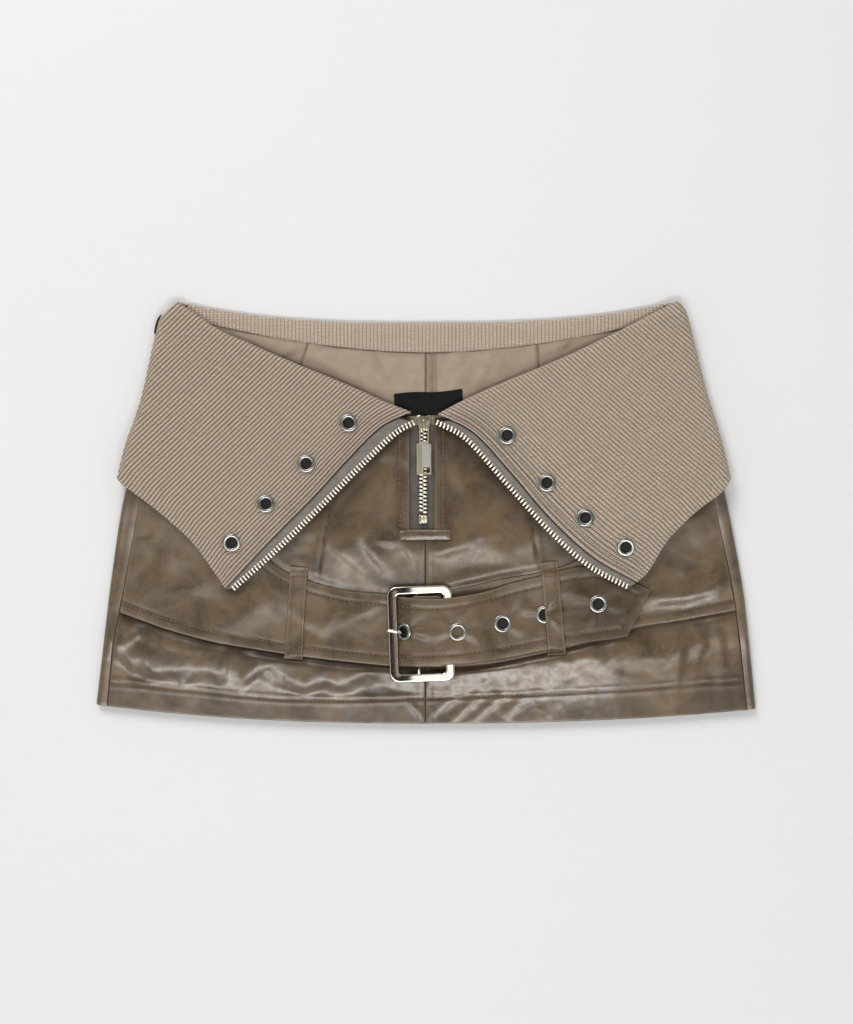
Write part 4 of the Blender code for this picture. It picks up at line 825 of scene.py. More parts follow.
def wovenTwill():
    # slanted twill lines crossed by threads, counted in threads for each unit of the map
    tree, given, out = newGroup("wovenTwill", [("Place", "Vector"), ("Threads", "Float")],
                                [("Height", "Float"), ("Tone", "Float")])
    across, along = parts(tree, given["Place"])
    u = times(tree, across, given["Threads"])
    v = times(tree, along, given["Threads"])
    slanted = calc(tree, "SINE", times(tree, plus(tree, u, v), math.pi))
    crossed = calc(tree, "SINE", times(tree, v, 2 * math.pi))
    height = plus(tree, slanted, times(tree, crossed, 0.5))
    tree.links.new(spread(tree, height, -1.5, 1.5), out["Height"])
    tree.links.new(noise(tree, given["Place"], 1.3, 4.0, 0.6), out["Tone"])
    return tree


def handledMetal():
    # faint rubbed streaks and clouds
    tree, given, out = newGroup("handledMetal", [("Place", "Vector")], [("Rub", "Float")])
    cloud = noise(tree, given["Place"], 260.0, 4.0, 0.6, 0.5)
    fine = noise(tree, given["Place"], 1900.0, 2.0, 0.5)
    rub = plus(tree, times(tree, cloud, 0.7), times(tree, fine, 0.3))
    tree.links.new(spread(tree, rub, 0.3, 0.7), out["Rub"])
    return tree


leatherGroup, knitGroup = waxedLeather(), knitStitches()
twillGroup, metalGroup = wovenTwill(), handledMetal()


def leatherFinish(name, look):
    # paler along worn edges; darker with dark seams and painted shade where the groove value says, and matt
    # there and where the surface says so
    made, tree, shader = newFinish(name, Specular_IOR_Level=look["specular"],
                                   Coat_Roughness=look["coatRough"], Coat_IOR=1.85)
    found = useGroup(tree, leatherGroup, Place=coordinates(tree, "Object"), Base=look["base"],
                     Dark=look["dark"], Warm=look["warm"], Pale=look["pale"])
    edge, groove = fieldValue(tree, "edge"), fieldValue(tree, "groove")
    colour = tint(tree, times(tree, edge, look["edgeWear"]), found["Color"], look["pale"])
    # painted shade and dark seams: the groove value takes the colour towards the seam colour
    colour = tint(tree, times(tree, groove, 0.75), colour, look["seam"])
    plug(tree, colour, shader.inputs["Base Color"])
    plug(tree, spread(tree, found["Gloss"], 0.0, 1.0, *look["roughness"]), shader.inputs["Roughness"])
    coat = spread(tree, found["Gloss"], 0.1, 0.9, *look["coat"])
    # painted shade also dulls the coat where the groove value says
    dulled = calc(tree, "MAXIMUM", times(tree, groove, 0.85), fieldValue(tree, "matt"))
    shining = calc(tree, "SUBTRACT", 1.0, dulled, clamp=True)
    plug(tree, times(tree, coat, shining), shader.inputs["Coat Weight"])
    raised(tree, shader, found["Grain"], look["grainDepth"])
    return made


def knitFinish(name, look):
    # painted shade: loops pale on top and dark between, with darker grooves between the ribs, and darker
    # where the groove value says
    made, tree, shader = newFinish(name, Sheen_Weight=look["sheen"], Sheen_Roughness=0.6,
                                   Specular_IOR_Level=0.15)
    found = useGroup(tree, knitGroup, Place=coordinates(tree, "UV"), Rows=look["rows"])
    colour = tint(tree, spread(tree, found["Loops"], 0.15, 0.9), look["shadow"], look["yarn"])
    colour = tint(tree, spread(tree, found["Fuzz"], 0.35, 0.7, 0.0, 0.35), colour, look["pale"])
    # painted shade in the grooves between the ribs, and where the groove value says
    colour = tint(tree, times(tree, found["Groove"], look["grooveShare"]), colour, look["groove"])
    colour = tint(tree, times(tree, fieldValue(tree, "groove"), 0.8), colour, look["groove"])
    plug(tree, colour, shader.inputs["Base Color"])
    plug(tree, spread(tree, found["Fuzz"], 0.2, 0.8, 0.82, 0.97), shader.inputs["Roughness"])
    height = plus(tree, found["Loops"], times(tree, found["Fuzz"], 0.5))
    raised(tree, shader, height, look["loopDepth"])
    return made


def wovenFinish(name, look):
    # two tones of thread, paler in worn patches, and darker with dark seams and painted shade where the
    # groove value says
    made, tree, shader = newFinish(name, Sheen_Weight=look["sheen"], Specular_IOR_Level=0.12)
    found = useGroup(tree, twillGroup, Place=coordinates(tree, "UV"), Threads=look["threads"])
    colour = tint(tree, spread(tree, found["Height"], 0.1, 0.9), look["shadow"], look["thread"])
    colour = tint(tree, spread(tree, found["Tone"], 0.35, 0.7, 0.0, 0.5), colour, look["pale"])
    # painted shade and dark seams: the groove value takes the colour towards the seam colour
    colour = tint(tree, times(tree, fieldValue(tree, "groove"), 0.8), colour, look["seam"])
    plug(tree, colour, shader.inputs["Base Color"])
    plug(tree, spread(tree, found["Tone"], 0.2, 0.8, *look["roughness"]), shader.inputs["Roughness"])
    raised(tree, shader, found["Height"], look["depth"])
    return made


def metalFinish(name, bright, dull, roughness):
    made, tree, shader = newFinish(name, Metallic=1.0)
    rub = useGroup(tree, metalGroup, Place=coordinates(tree, "Object"))["Rub"]
    plug(tree, tint(tree, rub, bright, dull), shader.inputs["Base Color"])
    plug(tree, spread(tree, rub, 0.0, 1.0, *roughness), shader.inputs["Roughness"])
    return made


def yarnFinish(name, colour, dark):
    # thread that darkens and lightens with its twist
    made, tree, shader = newFinish(name, Sheen_Weight=0.3, Specular_IOR_Level=0.3)
    twist = noise(tree, coordinates(tree, "Object"), 1600.0, 2.0)
    plug(tree, tint(tree, spread(tree, twist, 0.35, 0.65), dark, colour), shader.inputs["Base Color"])
    plug(tree, spread(tree, twist, 0.3, 0.7, 0.6, 0.85), shader.inputs["Roughness"])
    return made


def darkFinish(name, dark, pale):
    made, tree, shader = newFinish(name, Roughness=0.8)
    cloud = noise(tree, coordinates(tree, "Object"), 500.0)
    plug(tree, tint(tree, cloud, dark, pale), shader.inputs["Base Color"])
    return made


# seam is the colour that dark seams and painted shade take on
leatherLook = {"base": (0.140, 0.094, 0.050), "dark": (0.062, 0.041, 0.023),
               "warm": (0.172, 0.103, 0.048), "pale": (0.220, 0.170, 0.115),
               "seam": (0.012, 0.008, 0.005), "roughness": (0.40, 0.55), "specular": 0.06,
               "coat": (0.95, 0.30), "coatRough": 0.30, "edgeWear": 0.5, "grainDepth": 0.00040}
bandLook = {**leatherLook, "base": (0.142, 0.099, 0.058), "dark": (0.066, 0.045, 0.026),
            "warm": (0.165, 0.104, 0.054), "coat": (0.34, 0.10), "edgeWear": 0.6}
# groove is the colour of the painted shade between the ribs and where the groove value says; shadow is
# painted shade between the loops
knitLook = {"yarn": (0.600, 0.482, 0.378), "pale": (0.690, 0.575, 0.470),
            "shadow": (0.380, 0.292, 0.215), "groove": (0.085, 0.058, 0.038), "grooveShare": 0.9,
            "rows": 1.0, "sheen": 0.15, "loopDepth": 0.0004}
# painted light: the right lapel takes a paler copy of the left lapel's rib knit, with darker loop shadows
# and fainter rib grooves
litKnitLook = {**knitLook, "yarn": (0.740, 0.604, 0.480), "shadow": (0.300, 0.228, 0.165),
                "grooveShare": 0.72}
backKnitLook = {**knitLook, "yarn": (0.700, 0.575, 0.460), "shadow": (0.380, 0.295, 0.220),
                "grooveShare": 0.34}
# seam is the colour that dark seams and painted shade take on
shortsLook = {"thread": (0.380, 0.298, 0.222), "pale": (0.455, 0.368, 0.283),
              "shadow": (0.300, 0.230, 0.168), "seam": (0.085, 0.058, 0.038), "threads": 18.0,
              "roughness": (0.75, 0.9), "sheen": 0.2, "depth": 0.00006}
tapeLook = {"thread": (0.225, 0.203, 0.182), "pale": (0.320, 0.292, 0.265),
            "shadow": (0.110, 0.098, 0.087), "seam": (0.04, 0.034, 0.028), "threads": 11.0,
            "roughness": (0.65, 0.85), "sheen": 0.2, "depth": 0.00012}
# painted shade: a darker copy of the tape's look, for the tape that lies under the fly
shadedTapeLook = {**tapeLook, "thread": (0.128, 0.113, 0.101), "pale": (0.180, 0.162, 0.147),
                "shadow": (0.055, 0.048, 0.043)}
labelLook = {"thread": (0.004, 0.004, 0.005), "pale": (0.007, 0.007, 0.008),
             "shadow": (0.003, 0.003, 0.003), "seam": (0.002, 0.002, 0.002), "threads": 26.0,
             "roughness": (0.5, 0.65), "sheen": 0.0, "depth": 0.00004}

tabLook = {**labelLook, "thread": (0.05, 0.022, 0.016), "pale": (0.07, 0.032, 0.022)}

leather = leatherFinish("waxed_leather", leatherLook)
bandLeather = leatherFinish("waxed_leather_of_bands", bandLook)
knitLeft = knitFinish("rib_knit_left", knitLook)
knitRight = knitFinish("rib_knit_right", litKnitLook)
knitBack = knitFinish("rib_knit_back", backKnitLook)
shortsCloth = wovenFinish("shorts_twill", shortsLook)
tapeCloth = wovenFinish("zip_tape", tapeLook)
shadedTape = wovenFinish("zip_tape_in_shade", shadedTapeLook)
labelCloth = wovenFinish("black_label", labelLook)
tabCloth = wovenFinish("brown_tab", tabLook)
silver = metalFinish("silver_buckle", (0.82, 0.79, 0.73), (0.77, 0.74, 0.68), (0.020, 0.022))
gunmetal = metalFinish("eyelet_metal", (0.38, 0.38, 0.355), (0.25, 0.25, 0.23), (0.22, 0.36))
paleBrass = metalFinish("zip_teeth_metal", (0.86, 0.81, 0.70), (0.74, 0.67, 0.54), (0.30, 0.45))
pullMetal = metalFinish("zip_pull_metal", (0.52, 0.48, 0.36), (0.38, 0.34, 0.24), (0.26, 0.40))
seamThread = yarnFinish("seam_thread", (0.34, 0.215, 0.120), (0.14, 0.088, 0.048))
shortsThread = yarnFinish("shorts_thread", (0.24, 0.155, 0.095), (0.11, 0.07, 0.045))
# painted shade: near-black finish for the discs set in the eyelets' holes
shadeFinish = darkFinish("eyelet_hole_painted_shade", (0.006, 0.005, 0.004), (0.020, 0.015, 0.011))
print("finishes made")


# skirt and shorts

def bandsAway(x, y):
    # 0 where a hip band lies on the front, 1 a little way outside it
    return np.maximum(ease((y - bandEdge(x, 0) - 0.5) / 5.0), ease((bandEdge(x, 2) - 0.5 - y) / 5.0))


def openFront(x, y):
    # height of the front panels: their own relief where nothing lies on them
    bare = bandsAway(x, y)
    return smoothFront(x, y) + bare * (frontHeight(x, y) - smoothFront(x, y))


frontSizes = {"stitchSunk": 0.32, "dartSunk": 0.45, "seamPuff": 0.45, "sidePuff": 0.25, "dartPuff": 0.25,
              "stitchPuff": 0.25, "matt": 0.42, "hemMatt": 0.35, "sideMatt": 0.62}
darts = {"left": [(-58, 34), (-66, 4), (-72, -22), (-76, -52)],
         "right": [(62, 30), (70, 4), (74, -11.2), (79.5, -40)]}
flyStitch = {"left": [(-18.2, 57), (-18.2, 20), (-18, -4), (-18.2, -12)],
             "right": [(11.9, 57), (11.9, 20), (11.6, -2), (11.9, -12)]}


# painted shade in the hollows of the front: x, y, angle, reach, widths below and above, depth, bow
hollows = [
    (47, -40, 3, 30, 3, 3.6, 0.62, 2), (-18, -50.5, 2, 20, 4, 4, 0.6, 0),
    (-47, 17, 48, 24, 6, 5, 0.75, 2), (-63, -8, 48, 15, 6, 6, 0.6, 0),
    (-16.5, 45, 88, 14, 4, 4, 0.65, 0), (11, 44, 88, 14, 4.5, 4.5, 0.65, 0),
    (24, 40, -44, 18, 5, 5, 0.5, 0), (-16, 8, 86, 16, 2.5, 2.5, 0.3, 0),
    (-92, -116, -4, 60, 4, 5, 0.25, 0), (90, 2, -48, 22, 6, 6, 0.4, 0)]


def underShade(x, y):
    # painted shade: leather is darker in its hollows and close to the edges that lie over it
    total = np.minimum(ridges(x, y, hollows), 0.85)
    for line, reach, depth in ((leftLapel["free"], 10.0, 0.75), (rightLapel["free"], 9.0, 0.65),
                               (leftLapel["teeth"], 10.0, 0.9), (rightLapel["teeth"], 12.0, 0.9)):
        total = np.maximum(total, depth * bell(toLine(x, y, line)[0] / reach))
    for rows, reach, depth in ((leftBandRows[:8], 6.5, 1.0), (rightBandRows, 4.5, 0.6)):
        low = np.array([row[2:] for row in rows])
        total = np.maximum(total, depth * bell(toLine(x, y, low)[0] / reach))
        top = np.array([row[:2] for row in rows])
        total = np.maximum(total, 0.5 * bell(toLine(x, y, top)[0] / 3.5))
    return total


def frontPanel(word):
    # from the side seam to the fly, and below it on to the centre seam
    side = -1 if word == "left" else 1
    fine = np.linspace(0, 1, 400)
    flyShare = float(np.interp(-skirt["flyBottom"], -skirtAt(fine)["frontY"][:, 0], fine))
    upper = sharesOf(78.0, 2.1) * flyShare
    lower = flyShare + sharesOf(136.0, skirt["step"]) * (1 - flyShare)
    shares = np.concatenate([upper, lower[1:]])
    at = skirtAt(shares)
    seam, fly = (at["seamL"], skirt["flyLeft"]) if side < 0 else (at["seamR"], skirt["flyRight"])
    outerX = seam - side * cloth["gap"] / 2
    centreX = skirt["centreX"] + side * cloth["gap"] / 2
    wide, narrow = sharesOf(205.0, skirt["step"]), sharesOf(11.0, 0.9)
    x = np.concatenate([outerX + (fly - outerX) * wide[None],
                        0 * outerX + fly + (centreX - fly) * narrow[None, 1:]], 1)
    y = rowY(at, x, at["frontY"], at["bowF"])
    toFly = np.hypot(np.maximum(side * (x - fly), 0), np.maximum(skirt["flyBottom"] - y, 0))
    edge = np.minimum(borderDistance(np.dstack([x, y, 0 * x])), toFly)
    keep = np.ones((len(shares) - 1, x.shape[1] - 1), bool)
    keep[:len(upper) - 1, len(wide) - 1:] = False
    dart = toLine(x, y, darts[word])[0]
    stitched = np.minimum(toLine(x, y, flyStitch[word])[0], np.abs(y - hemLine(x)))
    toCentre, toSide = np.abs(x - centreX), np.abs(x - outerX)
    puffed = (frontSizes["seamPuff"] * bell((toCentre - 3.2) / 2.2) * (y < skirt["flyBottom"])
              + frontSizes["sidePuff"] * bell((toSide - 3.5) / 2.6)
              + frontSizes["dartPuff"] * bell((dart - 2.6) / 1.8)
              + frontSizes["stitchPuff"] * bell((stitched - 2.0) / 1.2))
    middle = np.dstack([x, y, openFront(x, y) + puffed * bandsAway(x, y)])
    groove = -frontSizes["stitchSunk"] * bell(stitched / 0.7) - frontSizes["dartSunk"] * bell(dart / 0.55)
    # dark stitch lines and seams, and painted shade: under the edges that lie over the front, in its
    # hollows and low places, and beside the fly
    shade = np.maximum.reduce([0.8 * bell(stitched / 0.7), bell(dart / 0.5),
                               0.8 * bell(toSide / 0.7), 0.8 * bell(toCentre / 0.5),
                               underShade(x, y), 0.4 * bell((toFly - 7.0) / 4.5) * (y < 60),
                               0.5 * ease((0.3 - frontRelief(x, y)) / 0.5)])
    matt = np.maximum.reduce([
        frontSizes["matt"] * ease((y + 75.0) / 20.0) * ease((162.0 - x) / 14.0),
        frontSizes["hemMatt"] * ease((hemLine(x) - y) / 3.0) * ease((4.0 - x) / 8.0),
        frontSizes["sideMatt"] * ease((x - 126.0) / 12.0) * ease((-80.0 - y) / 8.0)])
    clothPiece("skirt_front_panel_" + word, "leather", "skirt_front_" + word, middle, cloth["leather"],
               leather, "laid", ["shorts_front_panel_" + word], keep=keep, edge=edge,
               outerRelief=groove, shade=shade, matt=matt)


def backPanel():
    # left side turned over from the front, the flat back, and the right side
    shares = sharesOf(216.0, 2.6)
    at = skirtAt(shares)
    radius = (frontMid - backMid) / 2
    columns = []
    for fold, seam, sign in ((at["foldL"] + cloth["leather"] / 2, at["seamL"] - cloth["gap"] / 2, 1),
                             (at["foldR"] - cloth["leather"] / 2, at["seamR"] + cloth["gap"] / 2, -1)):
        strip = sharesOf(8.0, 1.0, last=False)
        x = seam + (fold + sign * radius - seam) * strip[None]
        bends = np.radians(np.array([75.0, 55.0, 35.0, 15.0, -10.0, -35.0, -60.0, -82.0]))[None]
        xArc = fold + sign * radius * (1 - np.cos(bends))
        share = (1 + np.sin(bends)) / 2
        yFront = rowY(at, xArc, at["frontY"], at["bowF"])
        yBack = rowY(at, xArc, at["backY"], at["bowB"])
        yArc = share * yFront + (1 - share) * yBack
        toSeam = np.abs(x - seam)
        yStrip = rowY(at, x, at["frontY"], at["bowF"])
        zStrip = openFront(x, yStrip) + 0.25 * bell((toSeam - 3.0) / 2.2)
        relief = openFront(xArc, yArc) - frontMid - lift(xArc, yArc)
        zArc = backMid + lift(xArc, yArc) + 2 * radius * share + relief * share
        columns.append((np.concatenate([x, xArc], 1), np.concatenate([yStrip, yArc], 1),
                        np.concatenate([zStrip, zArc], 1)))
    left, right = columns
    even = np.linspace(0, 1, 100)[None]
    xBack = left[0][:, -1:] + 2.0 + (right[0][:, -1:] - left[0][:, -1:] - 4.0) * even
    yBack = rowY(at, xBack, at["backY"], at["bowB"])
    zBack = backMid + lift(xBack, yBack) + 0.10 * (1 + crumple(xBack, yBack, 24.0, 61) / 2)
    middle = np.dstack([np.concatenate([a, b, c[:, ::-1]], 1)
                        for a, b, c in zip(left, (xBack, yBack, zBack), right)])
    hem = np.abs(middle[..., 1] - hemLine(middle[..., 0]))
    edge = borderDistance(middle)
    side = borderDistance(middle, (0, 0, 1, 1))
    shade = np.maximum(0.55 * bell(hem / 0.7), 0.9 * bell(side / 0.9))
    clothPiece("skirt_back_panel", "leather", "skirt_back", middle, cloth["leather"], leather, "folded",
               ["floor"], edge=edge, shade=shade, outerRelief=-0.25 * bell(hem / 0.8))


shortsFolds = [
    (-58, 94, -36, 32, 4, 9, 2.3, 0), (-92, 108, -24, 15, 4, 7, 2.4, 2),
    (-112, 114, -34, 12, 3, 5, 1.6, -1), (-74, 110, -60, 9, 3, 5, 1.1, 0),
    (-30, 100, -78, 14, 4, 5, 0.9, 0), (22, 98, 80, 16, 4, 5, 1.1, 1),
    (40, 100, 68, 18, 3.6, 5, 1.2, -1), (56, 104, 74, 14, 3.6, 4.6, 0.9, 0),
    (98, 120, 34, 15, 3.4, 6, 1.4, 0), (116, 126, 24, 12, 3, 5, 1.2, 0)]
# painted shade in the hollows of the shorts' back: x, y, angle, reach, widths below and above, depth, bow
shortsHollows = [
    (-98, 108.5, 22, 9, 2.6, 2.6, 0.8, 0), (-58, 91, -24, 30, 3, 5, 0.42, 2),
    (99, 117, 55, 8, 2, 2.4, 0.55, 0), (52, 98, 72, 12, 2.5, 3.5, 0.35, 0),
    (30, 92, 66, 10, 2.5, 3.5, 0.25, 0), (-34, 104, -70, 9, 2.5, 3, 0.25, 0)]
shortsDarts = {"left": [(-82.6, 117.6), (-85, 109), (-88.6, 97)],
               "right": [(76.6, 121.5), (77.8, 112), (79.1, 99)]}


def shortsBackTop(x, y):
    # the shorts' back where it shows inside the open front
    openV = ease((y - neck["openY"] - neck["slope"] * np.abs(x)) / 12.0)
    soft = 1.5 * ridges(x, y, shortsFolds) + 0.5 * crumple(x, y, 26.0, 81)
    return shortsBackMid + lift(x, y) + openV * np.maximum(soft, -0.2)


def shortsPanel(word, front):
    # a front is cut away round the zip's tape, a back shows inside the open waist
    side = -1 if word == "left" else 1
    top = sharesOf(80.0, 1.5 if not front else 4.0, last=False) * 0.36
    low = np.linspace(0.36, skirt["shortsHem"], 26)
    shares = np.maximum(np.concatenate([top[top < 0.35], low]), 0.004)
    at = skirtAt(shares)
    fold = at["foldL"] if side < 0 else at["foldR"]
    outerX = fold - side * skirt["shortsInset"]
    leg = ease((shares - skirt["crotch"]) / (skirt["shortsHem"] - skirt["crotch"]))[:, None]
    innerX = skirt["centreX"] + side * (cloth["gap"] / 2 + leg * skirt["legGap"])
    wide = sharesOf(165.0, 1.5 if not front else 3.5)
    x = outerX + (innerX - outerX) * wide[None]
    if front:
        y = rowY(at, x, at["frontY"], at["bowF"])
        z = shortsFrontMid + lift(x, y)
        beside, above = np.abs(x - zipSizes["x"]) - cloth["gap"], y + cloth["gap"]
        cut = (beside < zipSizes["tapeHalf"]) & (above > zipSizes["tapeBottom"])
        keep = ~(cut[:-1, :-1] | cut[1:, 1:])
        clothPiece("shorts_front_panel_" + word, "shorts_cloth", "shorts_front_" + word,
                   np.dstack([x, y, z]), cloth["shorts"], shortsCloth, "laid",
                   ["shorts_back_panel_" + word], uv=np.dstack([x, y]) * 0.1, keep=keep)
        return
    y = rowY(at, x, at["backY"], at["bowB"])
    dart = toLine(x, y, shortsDarts[word])[0]
    toCentre = np.abs(x - innerX)
    z = shortsBackTop(x, y)
    z = z + 0.8 * bell((dart - 2.6) / 1.8) * ease((y - 96.0) / 8.0)
    z = z + 0.35 * bell((toCentre - 2.0) / 1.4)
    toWaist = borderDistance(np.dstack([x, y, 0 * x]), (1, 0, 0, 0))
    z = z - 0.9 * ease((2.8 - toWaist) / 2.8)
    fold = toLine(x, y, (leftLapel if side < 0 else rightLapel)["fold"])[0]
    overlock = ease((y - 78.0) / 3.0) * ease((113.5 - y) / 3.0)
    sewn = overlock * (0.38 * bell((x - 4.0) / 3.2) + 0.75 * bell((x - 0.2) / 0.7))
    # dark darts and seams, the overlocked strip, and painted shade along the waist, beside the lapels'
    # folds and in the hollows
    shade = np.maximum.reduce([bell(dart / 1.1) * (y > 96), 0.3 * bell(toCentre / 0.5), sewn,
                               0.35 * bell(toWaist / 2.2), 0.42 * bell(fold / 6.0),
                               ridges(x, y, shortsHollows)])
    middle = np.dstack([x, y, z])
    clothPiece("shorts_back_panel_" + word, "shorts_cloth", "shorts_back_" + word, middle,
               cloth["shorts"], shortsCloth, "laid", ["skirt_back_panel"], uv=middle[..., :2] * 0.1,
               outerRelief=-0.45 * bell(dart / 0.6) * (y > 96), shade=shade)


backPanel()
for word in ("left", "right"):
    shortsPanel(word, False)
    shortsPanel(word, True)
    frontPanel(word)
print("skirt and shorts made")


# rib-knit collar

collar = {"pitch": 2.6, "ribDepth": 0.68, "samples": 7, "rowStep": 2.35, "holeReach": 8.2,
          "hole": 4.7, "backPitch": 2.6, "rowPitch": 1.6, "topCentre": 132.5, "topRise": 15.0,
          "topBow": 2.8, "bulgeFade": 34.0, "tipBack": 1.6, "tipReach": 14.0, "backRibs": 345.0}


def openHoles(plan, holes, reach, hole):
    # cloth is pushed aside round each hole: a point at a distance r from it moves out to
    # hole + r (reach - hole) / reach, and what was nearest the middle is left out
    keep = np.ones((plan.shape[0] - 1, plan.shape[1] - 1), bool)
    for hx, hy in holes:
        offX, offY = plan[..., 0] - hx, plan[..., 1] - hy
        away = np.maximum(np.hypot(offX, offY), 1e-6)
        moved = np.where(away < reach, hole + away * (reach - hole) / reach, away)
        plan = np.dstack([hx + offX / away * moved, hy + offY / away * moved])
        centre = (plan[:-1, :-1] + plan[1:, 1:] + plan[:-1, 1:] + plan[1:, :-1]) / 4 - [hx, hy]
        keep &= np.linalg.norm(centre, axis=2) > hole - 0.3
    return plan, keep


# rows of stitching beside the zip: distance from its edge, and how deep they pull the rib in
lapelWelts = {"left": [(4.2, 0.45), (9.0, 0.35)],
              "right": [(3.8, 0.9), (7.4, 0.8), (11.4, 0.6), (15.0, 0.3)]}


def ribbed(count, depth, power=0.8):
    # relief of ribs, sunk between them, where count goes up by 1 from each to the next
    return (np.abs(np.sin(math.pi * count)) ** power - 1.0) * depth


def turnedOver(x, y, outline, radius, inner):
    # cloth laid out flat past an outline is rolled round it: a point at a length s beyond the start
    # of the turn lands at radius sin(s / radius) and drops by radius (1 - cos(s / radius))
    away, wayX, wayY = toLine(x, y, outline)
    inwardX, inwardY = inner
    inside = wayX * inwardX + wayY * inwardY > 0
    wayX, wayY = np.where(inside, wayX, -wayX), np.where(inside, wayY, -wayY)
    past = np.maximum(radius - np.where(inside, away, -away), 0)
    bend = np.minimum(past / radius, math.radians(91))
    back = past - radius * np.sin(bend)
    return x + wayX * back, y + wayY * back, radius * (1 - np.cos(bend))


def zipEdge(shape):
    # edge of a lapel along its zip, started half the rib's thickness lower
    (x, y), *others = shape["zip"]
    return [(x, y - cloth["rib"] / 2)] + others


def lapelPiece(word, shape, finish):
    # laid out flat with the ribs across and the knit's rows from the fold to the free edge, opened
    # at the eyelets, then turned over at the fold and at the side
    sign = -1 if word == "left" else 1
    inset = cloth["rib"] / 2
    foldLine = byLength(shape["fold"], 60) - [0, inset]
    sideLine = byLength(shape["side"], 60) - [sign * inset, 0]
    freeLine = byLength(shape["free"], 80)
    zipLine = byLength(zipEdge(shape), 80)
    start, stop = zipLine[0], zipLine[-1]
    down = (stop - start) / np.linalg.norm(stop - start)
    across = np.array([-down[1], down[0]]) * sign
    grow = math.pi / 2 - 1
    way = foldLine[-1] - foldLine[0]
    foldOut = np.array([-way[1], way[0]]) / np.linalg.norm(way)
    foldOut = foldOut if foldOut[1] > 0 else -foldOut
    flatFold = np.concatenate([foldLine, foldLine[-1:] + (foldLine[-1:] - foldLine[-2:-1]) * 4])
    flatFold = flatFold + foldOut * grow * foldRadius
    flatSide = sideLine[::-1] + np.array([sign, 0.28]) / 1.04 * grow * sideRadius
    beyond = flatSide[-1:] + (flatSide[-1:] - flatSide[-2:-1]) * 3
    ends = np.concatenate([freeLine, flatSide, beyond])

    def acrossOf(line):
        return (line - start) @ across

    corner = acrossOf(foldLine)[-1] + grow * foldRadius
    phase = np.arange(0, corner / collar["pitch"] - 0.7, 1 / collar["samples"])
    p = phase * collar["pitch"]
    foldKey, endKey = np.maximum.accumulate(acrossOf(flatFold)), np.maximum.accumulate(acrossOf(ends))
    first, last = readLine(flatFold, foldKey, p), readLine(ends, endKey, p)
    reach = np.linalg.norm(last - first, axis=1)
    near = np.array([0.0, 0.8, 1.6, 2.5, 3.5, 4.6, 5.8])
    middleRows = int(round((reach[0] - 12) / collar["rowStep"]))
    squeeze = np.minimum(1.0, reach / 26.0)[None]
    top, low = near[:, None] * squeeze, reach[None] - near[::-1, None] * squeeze
    inner = top[-1:] + (low[:1] - top[-1:]) * np.linspace(0, 1, middleRows + 2)[1:-1, None]
    run = np.concatenate([top, inner, low])
    plan = first[None] + (last - first)[None] * (run / reach[None])[..., None]
    zipShare = (zipLine - start) @ down / ((stop - start) @ down)
    zipBulge = acrossOf(zipLine)
    along = ((plan - start) @ down) / ((stop - start) @ down)
    bulge = np.interp(along, zipShare, zipBulge) * np.exp(-p / collar["bulgeFade"])[None]
    plan = plan + bulge[..., None] * across
    tip = ease(1.0 - (reach[None] - run) / collar["tipReach"]) * np.minimum(p / 12.0, 1.0)[None]
    plan = plan - (tip * collar["tipBack"] * ease((run - 30) / 20.0))[..., None] * across
    uv = np.dstack([np.broadcast_to(phase, run.shape), run / collar["rowPitch"]])
    plan, keep = openHoles(plan, shape["eyelets"], collar["holeReach"], collar["hole"])
    x, y = plan[..., 0], plan[..., 1]
    x, y, dropFold = turnedOver(x, y, foldLine, foldRadius, -foldOut)
    x, y, dropSide = turnedOver(x, y, sideLine, sideRadius, (-sign, -0.28))
    z = flapHeight(x, y) - np.maximum(dropFold, dropSide)
    middle = np.dstack([x, y, z])
    edge = np.minimum(borderDistance(middle, (0, 0, 1, 0)), toLine(x, y, freeLine)[0])
    deeper = (1 + 0.7 * np.exp(-p / 10.0))[None]
    rib = ribbed((phase - np.floor(phase))[None], collar["ribDepth"] * deeper, 0.75)
    fromZip = toLine(x, y, zipLine)[0]
    puckers = sum(depth * bell((fromZip - place) / 0.55) for place, depth in lapelWelts[word])
    puckers = puckers * ease((reach[None] - run) / 12.0) * ease(run / 14.0)
    # painted shade in the puckers beside the zip and along the zip's edge
    clothPiece("collar_lapel_" + word, "rib_knit", "collar_" + word, middle, cloth["rib"], finish,
               "folded", ["skirt_front_panel_" + word], uv=uv, keep=keep, edge=edge, rounding=1.0,
               outerRelief=rib - 0.5 * puckers, innerRelief=rib * 0.5,
               shade=np.minimum(0.9 * puckers + 0.5 * bell(fromZip / 0.8), 1.0))


